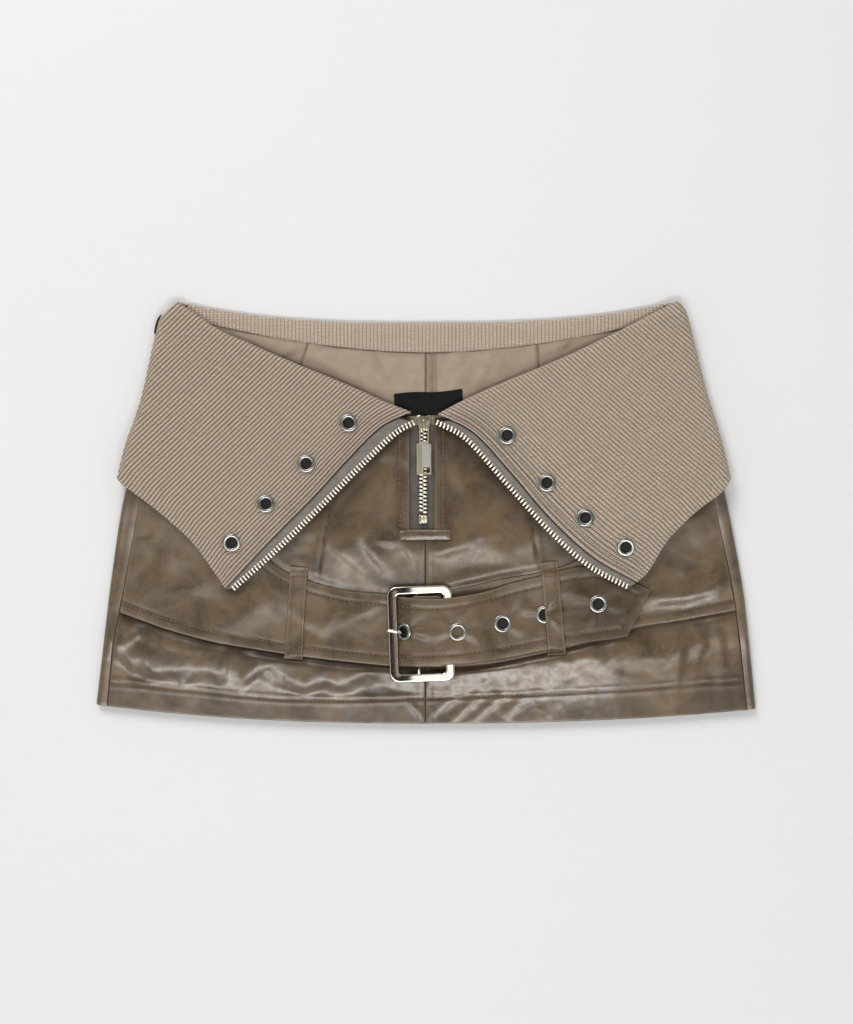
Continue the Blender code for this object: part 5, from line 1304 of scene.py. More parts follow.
def underPiece(word, shape):
    # inner front of the collar, from the waist seam up to the fold
    sign = -1 if word == "left" else 1
    at = skirtAt([0.0])
    fold = byLength(shape["fold"], 120)
    x0 = sign * np.linspace(17.0, 160.0, 150)
    order = np.argsort(fold[:, 0])
    y0 = np.clip(np.interp(x0, fold[order, 0], fold[order, 1]), 72.5, 141.0) - cloth["rib"] / 2
    seam = rowY(at, x0[None], at["frontY"], at["bowF"])[0] + cloth["gap"] + 0.6
    seam = np.minimum(seam, y0 - 2.0)
    radius = foldRadius * 0.75
    near = np.array([0.0, 0.25, 0.6, 1.1, 1.7, 2.4, 3.2, 5.0]) / 20.0
    share = np.concatenate([near, np.linspace(0.3, 1, 8)])[:, None]
    y = y0[None] + (seam - y0)[None] * share
    x = np.broadcast_to(x0, y.shape)
    gap = y0[None] - y
    z = underMid + lift(x, y) + 0.7 * ease((75.0 - np.abs(x)) / 35.0) + rolled(gap, radius)
    middle = np.dstack([x, y, z])
    rib = ribbed(x / collar["pitch"], 0.3, 0.75)
    clothPiece("collar_under_layer_" + word, "rib_knit", "collar_under_" + word, middle, cloth["rib"],
               knitBack, "folded", ["shorts_front_panel_" + word],
               uv=np.dstack([x / collar["pitch"], y / collar["rowPitch"]]), outerRelief=rib)


def rolled(gap, radius):
    # how far cloth has turned down at a gap from its border, along a quarter circle
    return np.where(gap < radius, radius - np.sqrt(np.maximum(radius ** 2 - (radius - gap) ** 2, 0)), 0)


def topY(x):
    # upper edge of the collar's back
    return collar["topCentre"] + collar["topRise"] * np.abs(x / 174.0) ** collar["topBow"]


def insidePiece():
    # inside of the collar's back, between the waist seam and the top fold
    at = skirtAt([0.0])
    x0 = np.arange(-166.0, 166.01, collar["backPitch"] / 6)
    top = topY(x0) - cloth["rib"] / 2
    seam = rowY(at, x0[None], at["backY"], at["bowB"])[0] - 1.2
    near = np.array([0.0, 0.06, 0.2, 0.45, 0.8, 1.2, topRadius + 0.4])
    far = np.array([3.4, 2.0, 1.0, 0.4, 0.0])
    width = (top - seam)[None]
    inner = near[-1] + (width - far[0] - near[-1]) * np.linspace(0, 1, 7)[1:-1, None]
    gap = np.concatenate([near[:, None] + 0 * width, inner, width - far[:, None]])
    x, y = np.broadcast_to(x0, gap.shape), top[None] - gap
    z = insideMid + ribStep - rolled(gap, topRadius)
    puffed = 0.7 * ease((width - gap) / 5.0) * ease(gap / 4.0) + 0.3 * lattice(x, y, 34.0, 91)
    z = z + puffed * ease(gap / 4.0) * ease((168.0 - np.abs(x)) / 20.0)
    z = z + 0.7 * ease((4.0 - (width - gap)) / 3.0) * ease((150.0 - np.abs(x)) / 20.0)
    middle = np.dstack([x, y, z])
    toSeam = width - gap
    clothPiece("collar_inside_strip", "rib_knit", "collar_inside", middle, cloth["backRib"], knitBack,
               "folded", ["shorts_back_panel_left", "shorts_back_panel_right"],
               uv=np.dstack([x / collar["backPitch"], y / collar["rowPitch"]]),
               edge=np.minimum(borderDistance(middle, (0, 1, 1, 1)), 9.0),
               outerRelief=ribbed(x / collar["backPitch"], 0.34) - 0.25 * bell(toSeam))


def hangingPiece():
    # back of the collar, which hangs behind the skirt and touches the surface
    inset = cloth["rib"] / 2
    count = 760
    topX = np.linspace(-172.0, 173.0, count)
    lowX = np.linspace(leftLapel["side"][-1][0] + inset, rightLapel["side"][-1][0] - inset, count)
    share = np.linspace(0, 1, count)
    left, right = (byLength(lapel["side"], 60) for lapel in (leftLapel, rightLapel))
    rows = np.concatenate([[0.0, 0.06, 0.2, 0.45, 0.9, 1.5, 2.4], np.linspace(4.0, 116.0, 16)])
    down = rows / rows[-1]
    topLine = np.stack([topX, topY(topX) - inset], 1)
    lowLine = np.stack([lowX, hangingEdge(lowX)], 1)
    leftX = np.interp(down, np.linspace(0, 1, 60), left[:, 0]) + inset
    rightX = np.interp(down, np.linspace(0, 1, 60), right[:, 0]) - inset
    y = topLine[None, :, 1] + (lowLine - topLine)[None, :, 1] * down[:, None]
    leftX[0], rightX[0] = topX[0], topX[-1]
    x = leftX[:, None] + (rightX - leftX)[:, None] * share[None]
    gapTop = topLine[None, :, 1] - y
    gapSide = np.minimum(x - leftX[:, None], rightX[:, None] - x)
    z = hangingMid + np.maximum(rolled(gapTop, topRadius), rolled(gapSide, sideRadius))
    middle = np.dstack([x, y, z])
    ribs = share[None] * collar["backRibs"] / collar["backPitch"] + 0 * x
    rib = ribbed(ribs, 0.4)
    clothPiece("collar_hanging_back", "rib_knit", "collar_back", middle, cloth["backRib"], knitBack,
               "folded", ["floor"], uv=np.dstack([ribs, y / collar["rowPitch"]]),
               edge=borderDistance(middle, (0, 1, 0, 0)), innerRelief=rib, outerRelief=rib * 0.3)


lapelPiece("left", leftLapel, knitLeft)
lapelPiece("right", rightLapel, knitRight)
underPiece("left", leftLapel)
underPiece("right", rightLapel)
insidePiece()
hangingPiece()
print("collar made")


# hip bands, strap and belt loops

def bandPlan(rows, count, across):
    # lines across the band from its top edge to its bottom edge, even along its length
    fine = through(rows, np.linspace(0, 1, 600))
    run = lengths((fine[:, :2] + fine[:, 2:]) / 2)
    place = np.interp(spaced(run[-1], run[-1] / count), run, np.arange(len(run)))
    lines = readLine(fine, np.arange(len(run)), place)
    share = sharesOf(across, 1.45)[:, None, None]
    return lines[None, :, :2] * (1 - share) + lines[None, :, 2:] * share


bandSizes = {"inset": 6.9, "edgePuff": 0.15, "puffAt": 3.4, "puffWide": 2.4, "sunk": 0.26, "wide": 0.7,
              "shade": 0.75, "shadeUnderLapels": 0.5, "holeReach": 8.4, "hole": 4.7}


def bandSewn(middle, borders):
    # distance to a band's edges and to the stitches along them, with the groove and shade of these
    edge = borderDistance(middle, borders)
    stitched = np.abs(edge - bandSizes["inset"])
    line = bell(stitched / bandSizes["wide"])
    return edge, stitched, -bandSizes["sunk"] * line, bandSizes["shade"] * line


def bandPuff(edge):
    return bell((edge - bandSizes["puffAt"]) / bandSizes["puffWide"])


def bandUnderShade(x, y):
    # painted shade: the bands are darker beside the lapels' tips that lie over them, and right of the right
    # belt loop
    toRight, toLeft = (toLine(x, y, lapel["teeth"])[0] for lapel in (rightLapel, leftLapel))
    nearLapels = np.maximum(0.7 * bell(toRight / 13.0), 0.6 * bell(toLeft / 9.0))
    between = ease((x - 96.0) / 12.0) * ease((160.0 - x) / 16.0)
    return np.maximum(nearLapels, bandSizes["shadeUnderLapels"] * between)


def strapPiece():
    # left hip band, which goes on through the buckle to its pointed end
    plan = bandPlan(leftBandRows, 270, 62.0)
    plan[:, :, 0] = np.where(plan[:, :, 0] < -190, plan[:, :, 0] + cloth["gap"], plan[:, :, 0])
    plan, keep = openHoles(plan, strapEyelets, bandSizes["holeReach"], bandSizes["hole"])
    x, y = plan[..., 0], plan[..., 1]
    z = strapHeight(x, y)
    edge, stitched, groove, shade = bandSewn(np.dstack([x, y, z]), (1, 1, 0, 1))
    whole = borderDistance(np.dstack([x, y, z]))
    z = z + bandSizes["edgePuff"] * (bandPuff(edge) - 0.5 * bell(stitched / 1.6))
    middle = np.dstack([x, y, z])
    clothPiece("hip_band_and_strap", "leather", "hip_band_left", middle, cloth["band"], bandLeather,
               "laid", ["skirt_front_panel_left", "hip_band_right_side"], keep=keep, edge=whole,
               outerRelief=groove, shade=np.maximum(shade, bandUnderShade(x, y)))


rightBand = {"bareFrom": 132.0, "turnedBack": 17.0, "slotX": (-13.7, -1.7), "slotHalf": 3.2, "matt": 0.64}


def rightBandPiece():
    # the band goes under the strap, up round the buckle's bar and a little way back
    plan = bandPlan(rightBandRows, 165, 62.0)
    plan[:, :, 0] = np.where(plan[:, :, 0] > 190, plan[:, :, 0] - cloth["gap"], plan[:, :, 0])
    x, y = plan[..., 0], plan[..., 1]
    z = rightBandHeight(x, y)
    lean = math.tan(math.radians(buckle["turn"]))
    endY = y[:, -1]
    barX = buckle["x"] + buckle["barX"] - (endY - buckle["y"]) * lean
    bends = np.radians(np.array([-90.0, -115.0, -140.0, -165.0, 170.0, 145.0, 120.0, 90.0]))[None]
    wrapX = barX[:, None] + wrapR * np.cos(bends)
    wrapZ = barMid + wrapR * np.sin(bends) + 0 * wrapX
    endX = wrapX[:, -1:] + np.linspace(0, rightBand["turnedBack"], 8)[None, 1:]
    x = np.concatenate([x, wrapX, endX], 1)
    y = np.concatenate([y, endY[:, None] + 0 * wrapX, endY[:, None] + 0 * endX], 1)
    z = np.concatenate([z, wrapZ, wrapZ[:, -1:] + 0 * endX], 1)
    middle = np.dstack([x, y, z])
    edge, _, groove, shade = bandSewn(middle, (1, 1, 0, 0))
    middle[..., 2] += bandSizes["edgePuff"] * bandPuff(edge) * (x > rightBand["bareFrom"])
    slotFrom, slotTo = rightBand["slotX"]
    slot = (np.abs(y - buckle["prongY"]) < rightBand["slotHalf"]) & (x > slotFrom) & (x < slotTo)
    shine = bell(np.hypot((x - 184.0) / 30.0, (y + 60.0) / 10.0))
    clothPiece("hip_band_right_side", "leather", "hip_band_right", middle, cloth["band"], leather,
               "folded", ["skirt_front_panel_right"], keep=~(slot[:-1, :-1] | slot[1:, 1:]),
               outerRelief=groove, shade=shade, matt=rightBand["matt"] * (1 - shine))


loopSizes = {"width": 12.0, "thick": 1.4, "stitch": 2.3, "long": 65.0, "onLeather": 0.1,
             "over": {"left": 0.25, "right": 1.3}, "ends": {"left": (6.6, 2.0), "right": (9.0, 3.5)}}


def loopPlan(word, across, run):
    # across from -1 to 1 over the loop's width, run from 0 at its top to 1 at its bottom
    x0, y0, x1, y1 = beltLoops[word]
    way = np.array([x1 - x0, y1 - y0])
    side = np.array([-way[1], way[0]]) / np.linalg.norm(way)
    wider = loopSizes["width"] / 2 * (1 + 0.10 * bell(run / 0.05) + 0.10 * bell((1 - run) / 0.05))
    return x0 + way[0] * run + side[0] * across * wider, y0 + way[1] * run + side[1] * across * wider


def loopHeight(word, x, y):
    # on the band or strap where it crosses them, and down on the front at its ends
    half = loopSizes["thick"] / 2
    onTop = strapHeight(x, y) + cloth["band"] / 2 + loopSizes["over"][word] + half
    below = openFront(x, y) + cloth["leather"] / 2 + loopSizes["onLeather"] + half
    top, low = loopSizes["ends"][word]
    fromTop, toLow = beltLoops[word][1] - y, y - beltLoops[word][3]
    share = ease((fromTop - top + 4.0) / 4.5) * ease((toLow - low + 2.5) / 3.0)
    return np.maximum(below + (onTop - below) * share, below)


def beltLoop(word):
    # strip over the band with a row of stitches along each side
    run = sharesOf(loopSizes["long"], 1.3)[:, None]
    across = (sharesOf(loopSizes["width"], 1.0) * 2 - 1.0)[None]
    x, y = loopPlan(word, across, run)
    z = loopHeight(word, x, y)
    ends = bell(run / 0.03) + bell((1 - run) / 0.03)
    z = z + 0.25 * bell((np.abs(across) - 0.2) / 0.5) + 0.35 * ends
    z = z + 0.15 * crumple(x, y, 9.0, 101, 2)
    middle = np.dstack([x, y, z])
    stitched = np.abs((1 - np.abs(across)) * loopSizes["width"] / 2 - loopSizes["stitch"]) + 0 * x
    clothPiece("belt_loop_strip_" + word, "leather", "belt_loop_" + word, middle, loopSizes["thick"],
               bandLeather, "laid", ["hip_band_and_strap"], outerRelief=-0.2 * bell(stitched / 0.6),
               shade=0.5 * bell(stitched / 0.5))


strapPiece()
rightBandPiece()
beltLoop("left")
beltLoop("right")
print("hip bands, strap and belt loops made")


# eyelets

eyelet = {"hole": 3.8, "out": 6.3, "dome": 0.85, "sides": 44, "proud": 0.15, "inside": 4.4, "flange": 5.5,
          "reach": 2.0}


def eyeletPiece(name, node, x, y, surface, thickness, seen=None):
    # domed ring in the cloth, its flange behind, and in its hole a dark disc of painted shade, or a disc of
    # what is seen through it
    step = eyelet["reach"]
    heights = surface(x + step * np.array([0, -1, 1, 0, 0]), y + step * np.array([0, 0, 0, -1, 1]))
    up = unit(np.array([heights[1] - heights[2], heights[3] - heights[4], 2 * step]))
    side = unit(np.cross([0.0, 1.0, 0.0], up))
    turn = np.column_stack([side, np.cross(up, side), up])
    place = np.array([x, y, heights[0]])
    high = thickness / 2 + eyelet["proud"]
    low, hole, out = -high, eyelet["hole"], eyelet["out"]
    arc = np.radians(np.linspace(0, 180, 13))
    centre, half = (out + hole) / 2, (out - hole) / 2
    top = [(centre + half * math.cos(a), high + eyelet["dome"] * math.sin(a) ** 0.8) for a in arc]
    inside, flange = eyelet["inside"], eyelet["flange"]
    profile = ([(inside, low - 0.1), (inside, high - 0.1), (out - 0.1, high - 0.12)] + top
               + [(hole, low - 0.3), (4.0, low - 0.55), (4.8, low - 0.6), (flange, low - 0.35),
                  (flange, low - 0.1)])
    ring = revolved(name, profile, eyelet["sides"], place, turn, gunmetal)
    # painted shade: a dark disc under the hole, unless another finish is given
    angle = np.arange(24) * math.pi / 12
    disc = np.column_stack([np.cos(angle), np.sin(angle)]) * (hole + 0.2)
    backing = plate(name + "_shade", disc, [(1.0, low - 0.5), (1.0, low - 0.1), (0.5, low - 0.16)],
                    seen or shadeFinish, centre=(0, 0))
    points = np.empty(len(backing.data.vertices) * 3)
    backing.data.vertices.foreach_get("co", points)
    backing.data.vertices.foreach_set("co", (place * mm + points.reshape(-1, 3) @ turn.T).ravel())
    finishPiece(ring, "eyelet_metal", node)
    finishPiece(backing, "eyelet_metal")


def strapSurface(x, y):
    # the strap without its creases
    return strapHeight(x, y, detail=False)


for word, lapel in (("left", leftLapel), ("right", rightLapel)):
    for number, (ex, ey) in enumerate(lapel["eyelets"], 1):
        eyeletPiece("eyelet_ring_%s_%d" % (word, number), "eyelet_%s_%d" % (word, number), ex, ey,
                    flapHeight, cloth["rib"])
# the right band shows through the second hole
for number, (ex, ey) in enumerate(strapEyelets, 1):
    eyeletPiece("strap_ring_%d" % number, "strap_eyelet_%d" % number, ex, ey, strapSurface,
                cloth["band"], bandLeather if number == 2 else None)
print("eyelets made")


# buckle

def rounded(width, height, radius, steps=9):
    # outline of a rectangle with rounded corners round the origin
    outline = []
    for signX, signY, start in ((1, 1, 0), (-1, 1, 90), (-1, -1, 180), (1, -1, 270)):
        angle = np.radians(start + 90 * np.linspace(0, 1, steps))
        outline.append(np.column_stack([signX * (width / 2 - radius) + radius * np.cos(angle),
                                        signY * (height / 2 - radius) + radius * np.sin(angle)]))
    return np.concatenate(outline)


def signedPower(value, power):
    return np.sign(value) * np.abs(value) ** power


def toBuckle(points):
    # from the buckle's own upright frame to its place, turned a little anticlockwise
    turn = math.radians(buckle["turn"])
    cosine, sine = math.cos(turn), math.sin(turn)
    x, y, z = points[..., 0], points[..., 1], points[..., 2]
    return np.stack([buckle["x"] + x * cosine - y * sine, buckle["y"] + x * sine + y * cosine,
                     buckleMid + z], -1)


# section of the buckle's bars: share from the outer to the inner outline, and share of half the
# thickness; its lower half is the same turned over
buckleSection = np.array([
    (0.0, 0.0), (0.0, 0.5), (0.012, 0.74), (0.05, 0.91), (0.11, 0.985), (0.15, 1.0), (0.17, 1.0),
    (0.5, 1.0), (0.83, 1.0), (0.85, 1.0), (0.89, 0.985), (0.95, 0.91), (0.988, 0.74), (1.0, 0.5)])
# radius of the centre bar at distances from the frame's arms
barEnds = [(-1.4, 1.9), (1.6, 1.9), (2.9, 1.8), (3.3, 1.5)]
sleeveProfile = [(2.6, -2.2), (2.8, -2.0), (2.8, 2.0), (2.6, 2.2), (1.8, 2.2), (1.8, -2.2)]


def buckleRing():
    outer = rounded(buckle["width"], buckle["height"], buckle["corner"])
    inner = rounded(buckle["width"] - 2 * buckle["sideBar"], buckle["height"] - 2 * buckle["armBar"],
                    buckle["innerCorner"])
    share, high = buckleSection[:, 0], buckleSection[:, 1] * buckle["thick"] / 2
    share, high = np.concatenate([share, 1 - share]), np.concatenate([high, -high])
    plan = outer[:, None] * (1 - share)[None, :, None] + inner[:, None] * share[None, :, None]
    points = np.dstack([plan, np.broadcast_to(high, plan.shape[:2])])
    ring = putMesh("buckle_ring", toBuckle(points).reshape(-1, 3), ringFaces(*points.shape[:2]), silver)
    finishPiece(ring, "buckle_metal", "buckle_frame")


def buckleBar():
    half = buckle["height"] / 2 - buckle["armBar"] / 2
    y = np.array([gap - half for gap, _ in barEnds] + [half - gap for gap, _ in barEnds[::-1]])
    radius = [r for _, r in barEnds + barEnds[::-1]]
    path = toBuckle(np.column_stack([0 * y + buckle["barX"], y, 0 * y + barMid - buckleMid]))
    bar = tube("buckle_bar", path, radius, 20, silver, (1.0, 0.0, 0.0))
    finishPiece(bar, "buckle_metal")


def prongPieces():
    # the prong rises from its sleeve on the bar and rests on the frame's left side
    barX = buckle["x"] + buckle["barX"]
    top = buckleMid + buckle["thick"] / 2 + cloth["gap"] + buckle["prongR"]
    way = np.array([(barX - 2.0, barMid - 0.1), (-12.0, barMid - 0.6), (-15.4, barMid + 1.1),
                    (-18.6, top - 0.9), (-21.5, top + 0.3), (-25.5, top + 0.3), (buckle["prongTip"], top)])
    fine = byLength(way, 46)
    taper = buckle["prongR"] * (1 - 0.25 * ease((np.arange(46) - 26) / 20.0))
    taper[-4:] *= [0.95, 0.82, 0.6, 0.28]
    y = buckle["prongY"] + 1.1 * ease((-16.0 - fine[:, 0]) / 9.0)
    prong = tube("prong", np.column_stack([fine[:, 0], y, fine[:, 1]]), taper, 18, silver)
    finishPiece(prong, "buckle_metal", "buckle_prong")
    turn = np.array([[1.0, 0, 0], [0, 0, -1.0], [0, 1.0, 0]])
    place = np.array([barX, buckle["prongY"], barMid])
    sleeve = revolved("prong_sleeve", sleeveProfile, 28, place, turn, silver)
    finishPiece(sleeve, "buckle_metal")


buckleRing()
buckleBar()
prongPieces()
print("buckle made")


# zip, pull tab, welt and label

def zipHeight(x, y):
    # middle of the open tapes: level at the slider, with the lapels further out
    near = ease(np.hypot(x - zipSizes["x"], y - zipSizes["sliderY"]) / 28.0)
    return zipSizes["startMid"] + (flapHeight(x, y) - zipSizes["startMid"]) * near


def roundedBar():
    # a small bar along X with a rounded square section and softly closed ends
    angle = np.arange(8) * math.pi / 4 + math.pi / 8
    ring = np.column_stack([signedPower(np.cos(angle), 0.7), signedPower(np.sin(angle), 0.7)])
    points = np.concatenate([np.column_stack([np.full(8, x), ring * r])
                             for x, r in ((-1.0, 0.75), (-0.9, 1.0), (0.9, 1.0), (1.0, 0.75))])
    return points, barFaces(8, 4)


def straightBars(name, places, sizes):
    # bars along the axes, with half their sizes
    axes = np.broadcast_to(np.diag(sizes), (len(places), 3, 3))
    return repeated(name, roundedBar(), np.array(places), axes, paleBrass)


def openZip(word, shape):
    # tape and teeth along a lapel; the tape runs from the rib's edge to the teeth
    line = byLength(shape["teeth"], 240)
    edge = byLength(zipEdge(shape), 240)
    share = np.linspace(0, 1, 240)
    edge = readLine(edge, share, np.linspace(0.05, 1, 240))
    run = sharesOf(180.0, 1.3)[:, None]
    a, b = readLine(edge, share, run[:, 0]), readLine(line, share, run[:, 0])
    width = np.linalg.norm(b - a, axis=1)[:, None]
    toTeeth = (b - a) / width
    gap = 0.35 + (width - 1.35) * sharesOf(8.0, 0.9)[None]
    plan = a[:, None] + toTeeth[:, None] * gap[..., None]
    z = zipHeight(plan[..., 0], plan[..., 1]) - 0.15 + 0.35 * bell((gap - 1.6) / 1.2)
    middle = np.dstack([plan, z])
    # painted shade along the tape's edge under the rib
    shade = 0.9 * bell((gap - 0.3) / 0.8)
    clothPiece("zip_tape_open_" + word, "zip_tape", "zip_tape_" + word, middle, cloth["tape"],
               tapeCloth, "folded", ["skirt_front_panel_" + word], width=11.0,
               uv=np.dstack([gap * 0.1, run * 18.0 + 0 * gap]), rounding=0.35, shade=shade)
    place, way = alongLine(np.column_stack([line, zipHeight(line[:, 0], line[:, 1])]),
                           zipSizes["openPitch"][word], 0.8)
    side = unit(np.cross([0.0, 0.0, 1.0], way))
    axes = np.stack([side, way, np.cross(way, side)], 2) * zipSizes["openTooth"]
    bars = repeated("zip_teeth_open_" + word, roundedBar(), place, axes, paleBrass)
    finishPiece(bars, "zip_teeth", "zip_chain_" + word)


def closedZip():
    # tape under the fly with two rows of teeth set between each other, and the stop at its lower end
    x, half = zipSizes["x"], zipSizes["tapeHalf"]
    across = (spaced(2 * half, 1.0) - half + x)[None]
    down = (zipSizes["tapeTop"] - spaced(77.0, 1.3))[:, None]
    z = tapeLow + cloth["tape"] / 2 + 0.35 * bell((np.abs(across - x) - 5.4) / 1.8) + 0 * down
    middle = np.dstack([across + 0 * down, down + 0 * across, z])
    # painted shade beside both rows of teeth and in a thin line between them
    shadeBesideTeeth = 0.45 * bell((np.abs(across - x) - 2.9) / 0.6)
    shade = np.maximum(shadeBesideTeeth, bell((across - x) / 0.6)) + 0 * down
    clothPiece("zip_tape_front", "zip_tape", "zip_tape_closed", middle, cloth["tape"], shadedTape, "laid",
               ["skirt_front_panel_left", "skirt_front_panel_right"], uv=middle[..., :2] * 0.1,
               shade=shade)
    top, low, pitch = zipSizes["sliderY"] - 5.8, zipSizes["stopTop"] + 0.6, zipSizes["closedPitch"]
    places = []
    for side, offset in ((-1, 0.0), (1, pitch / 2)):
        ys = np.arange(top - offset, low, -pitch)
        places += [(x + side * zipSizes["toothOut"], y, chainBase + 1.0) for y in ys]
    bars = straightBars("zip_teeth_front", places, zipSizes["closedTooth"])
    finishPiece(bars, "zip_teeth", "zip_chain_closed")
    middleY = (zipSizes["stopTop"] + zipSizes["stopBottom"]) / 2
    box = rounded(6.2, 6.2, 1.0, 3) + [x, middleY]
    layers = [(0.94, 0.0), (1.0, 0.2), (1.0, 1.2), (0.9, 1.5), (0.8, 1.6)]
    stop = plate("zip_bottom_stop", box, [(share, chainBase + z) for share, z in layers], pullFaceDull)
    finishPiece(stop, "zip_teeth", "zip_stop")
    places = [(x - 0.5, middleY, chainBase + 1.6), (x + 1.75, middleY, chainBase + 1.5)]
    bars = straightBars("zip_stop_bars", places, zipSizes["stopBar"])
    finishPiece(bars, "zip_teeth")


# outline of the slider in shares of its half width and half length, layers of its body as share
# of the outline and height, and sizes of the bail
slider = {"half": (5.2, 5.5), "bailY": 1.8, "bailHalf": 4.0, "bailHigh": 2.35, "bend": 1.2,
          "wire": 0.5, "wireWide": 2.3,
          "outline": [(-0.55, -1.0), (0.0, -1.04), (0.55, -1.0), (0.74, -0.5), (0.85, 0.0), (1.0, 0.6),
                      (0.94, 0.9), (0.62, 1.02), (0.2, 0.84), (-0.2, 0.84), (-0.62, 1.02), (-0.94, 0.9),
                      (-1.0, 0.6), (-0.85, 0.0), (-0.74, -0.5), (-0.62, -0.9)],
          "layers": [(0.9, 0.0), (1.0, 0.25), (1.0, 0.8), (0.9, 1.0), (0.9, 1.6), (1.0, 1.8),
                     (1.0, 2.35), (0.93, 2.7), (0.8, 2.8)]}


def sliderPieces():
    # body of the slider and the bail over it that holds the pull tab
    x, y, top = zipSizes["sliderX"], zipSizes["sliderY"], chainBase + zipSizes["sliderHigh"]
    outline = np.array(slider["outline"]) * slider["half"] + [x, y]
    layers = [(share, chainBase + z) for share, z in slider["layers"]]
    body = plate("slider_body", outline, layers, pullMetal, centre=(x, y))
    finishPiece(body, "zip_pull", "zip_slider")
    centre = zipSizes["hingeY"] + slider["bailY"]
    bend, high = slider["bend"], top + slider["bailHigh"] - slider["bend"]
    quarter = [(bend * math.sin(a), bend * math.cos(a)) for a in np.radians(np.linspace(0, 90, 6))]
    half = [(slider["bailHalf"] - bend + out, high + up) for out, up in quarter]
    half.append((slider["bailHalf"], top - 0.4))
    path = np.array([(x, centre - out, z) for out, z in half[::-1]]
                    + [(x, centre + out, z) for out, z in half])
    bail = tube("slider_bail", path, np.full(len(path), slider["wire"]), 12, pullMetal, (1.0, 0.0, 0.0),
                slider["wireWide"])
    finishPiece(bail, "zip_pull")


def cutPlate(name, xs, ys, keep, low, high, finish, place, bevel):
    # flat plate of the cells that are kept between sorted lines in X and Y, with softened edges
    gridX, gridY = np.meshgrid(xs, ys)
    faces = wallFaces(gridFaces(*gridX.shape)[keep], gridX.size)
    plan = np.column_stack([gridX.ravel(), gridY.ravel()])
    points = np.concatenate([np.column_stack([plan, np.full(len(plan), z)]) for z in (high, low)])
    tilt = math.radians(zipSizes["tilt"])
    lean = np.array([[1, 0, 0], [0, math.cos(tilt), math.sin(tilt)], [0, -math.sin(tilt), math.cos(tilt)]])
    made = putMesh(name, points @ lean + place, faces, finish, sharp=30)
    soft = made.modifiers.new("softened", "BEVEL")
    soft.width, soft.segments, soft.limit_method = bevel * mm, 2, "ANGLE"
    finishPiece(made, "zip_pull", *(["pull_tab"] if name == "pull_plate" else []), body="pull_tab")


pull = {"xs": [-5.1, -3.4, -2.4, -0.4, 2.4, 3.4, 4.1, 5.1], "half": 0.5, "bevel": 0.16,
        "leftFace": [-4.4, -1.5], "rightFace": [-1.2, 4.4], "faceLow": 0.4, "leftHigh": 0.6,
        "rightHigh": 0.62, "faceBevel": 0.05}


def pullPieces():
    # the tab is cut out beside its neck, round the bail and at its lower end; two plain faces lie on it
    place = np.array([zipSizes["sliderX"], zipSizes["hingeY"],
                      chainBase + zipSizes["sliderHigh"] + zipSizes["hingeRise"]])
    neck, end = zipSizes["neckEnd"] - zipSizes["hingeY"], zipSizes["pullEnd"] - zipSizes["hingeY"]
    xs = np.array(pull["xs"])
    ys = np.array([end, end + 1.3, end + 5.0, neck - 0.2, neck + 1.4, -0.6, 0.6])
    keep = np.ones((len(ys) - 1, len(xs) - 1), bool)
    keep[3:, [0, 5, 6]] = False
    keep[4, 2:4] = False
    keep[1, 3:6] = False
    cutPlate("pull_plate", xs, ys, keep, -pull["half"], pull["half"], pullMetal, place, pull["bevel"])
    rows = np.array([end + 0.9, end + 5.4, neck - 1.0])
    for word, ends, finish in (("left", rows, pullFaceDull), ("right", rows[1:], pullFaceGrey)):
        whole = np.ones((len(ends) - 1, 1), bool)
        cutPlate("pull_face_" + word, np.array(pull[word + "Face"]), ends, whole, pull["faceLow"],
                 pull[word + "High"], finish, place, pull["faceBevel"])


welt = {"left": -18.4, "long": 35.4, "top": -12.6, "wide": 7.0, "lean": 0.011, "cut": 14.0,
        "rise": 0.3, "foldX": -16.0, "fold": 0.5}


def weltPiece():
    # patch of leather sewn over the lower end of the zip
    across = (spaced(welt["long"], 1.0) + welt["left"])[None]
    down = (welt["top"] - spaced(welt["wide"], 0.7))[:, None]
    x, y = across + 0 * down, down + welt["lean"] * across
    edge = borderDistance(np.dstack([x, y, 0 * x]))
    z = openFront(x, y) + cloth["leather"] + cloth["gap"] + welt["rise"] * ease(edge / 3.2)
    z = z + welt["fold"] * bell((x - welt["foldX"]) / 2.6) * ease(edge / 2.0)
    z = z + 0.3 * (lattice(x, y, 6.0, 121) + 1) * ease(edge / 3.0)
    middle = np.dstack([x, y, z])
    clothPiece("fly_welt", "leather", "zip_welt", middle, cloth["leather"], leather, "folded",
               ["skirt_front_panel_left", "skirt_front_panel_right"], length=welt["cut"],
               shade=0.5 * bell((edge - 1.5) / 0.5) * (y > -16.0))


# the label's top and bottom edges as height at the left and rise to the right
label = {"left": -22.4, "long": 48.0, "tall": 16.5, "top": (82.2, 3.4), "bottom": (66.5, 2.0),
         "lean": 0.9, "wider": 0.4, "wave": 0.6, "crease": 5.5, "over": 0.35}


def labelPiece():
    # bare label inside the back waist, with a crease across it
    share = sharesOf(label["long"], 1.2)[None]
    down = sharesOf(label["tall"], 1.0)[:, None]
    top, bottom = (low + rise * share for low, rise in (label["top"], label["bottom"]))
    wider = label["wider"]
    x = label["left"] + (label["long"] - wider) * share + (label["lean"] + wider * share) * down
    y = (top + label["wave"] * np.sin(share * 7.0)) * (1 - down) + bottom * down
    z = shortsBackTop(x, y) + cloth["shorts"] / 2 + label["over"]
    z = z + 0.25 * bell((share - 0.03) / 0.04) * (1 - down)
    z = z + 0.3 * bell((down * label["tall"] - label["crease"]) / 0.5)
    middle = np.dstack([x, y, z])
    clothPiece("bare_label", "label", "label", middle, cloth["label"], labelCloth, "laid",
               ["shorts_back_panel_left", "shorts_back_panel_right"], uv=middle[..., :2] * 0.1,
               rounding=0.2)


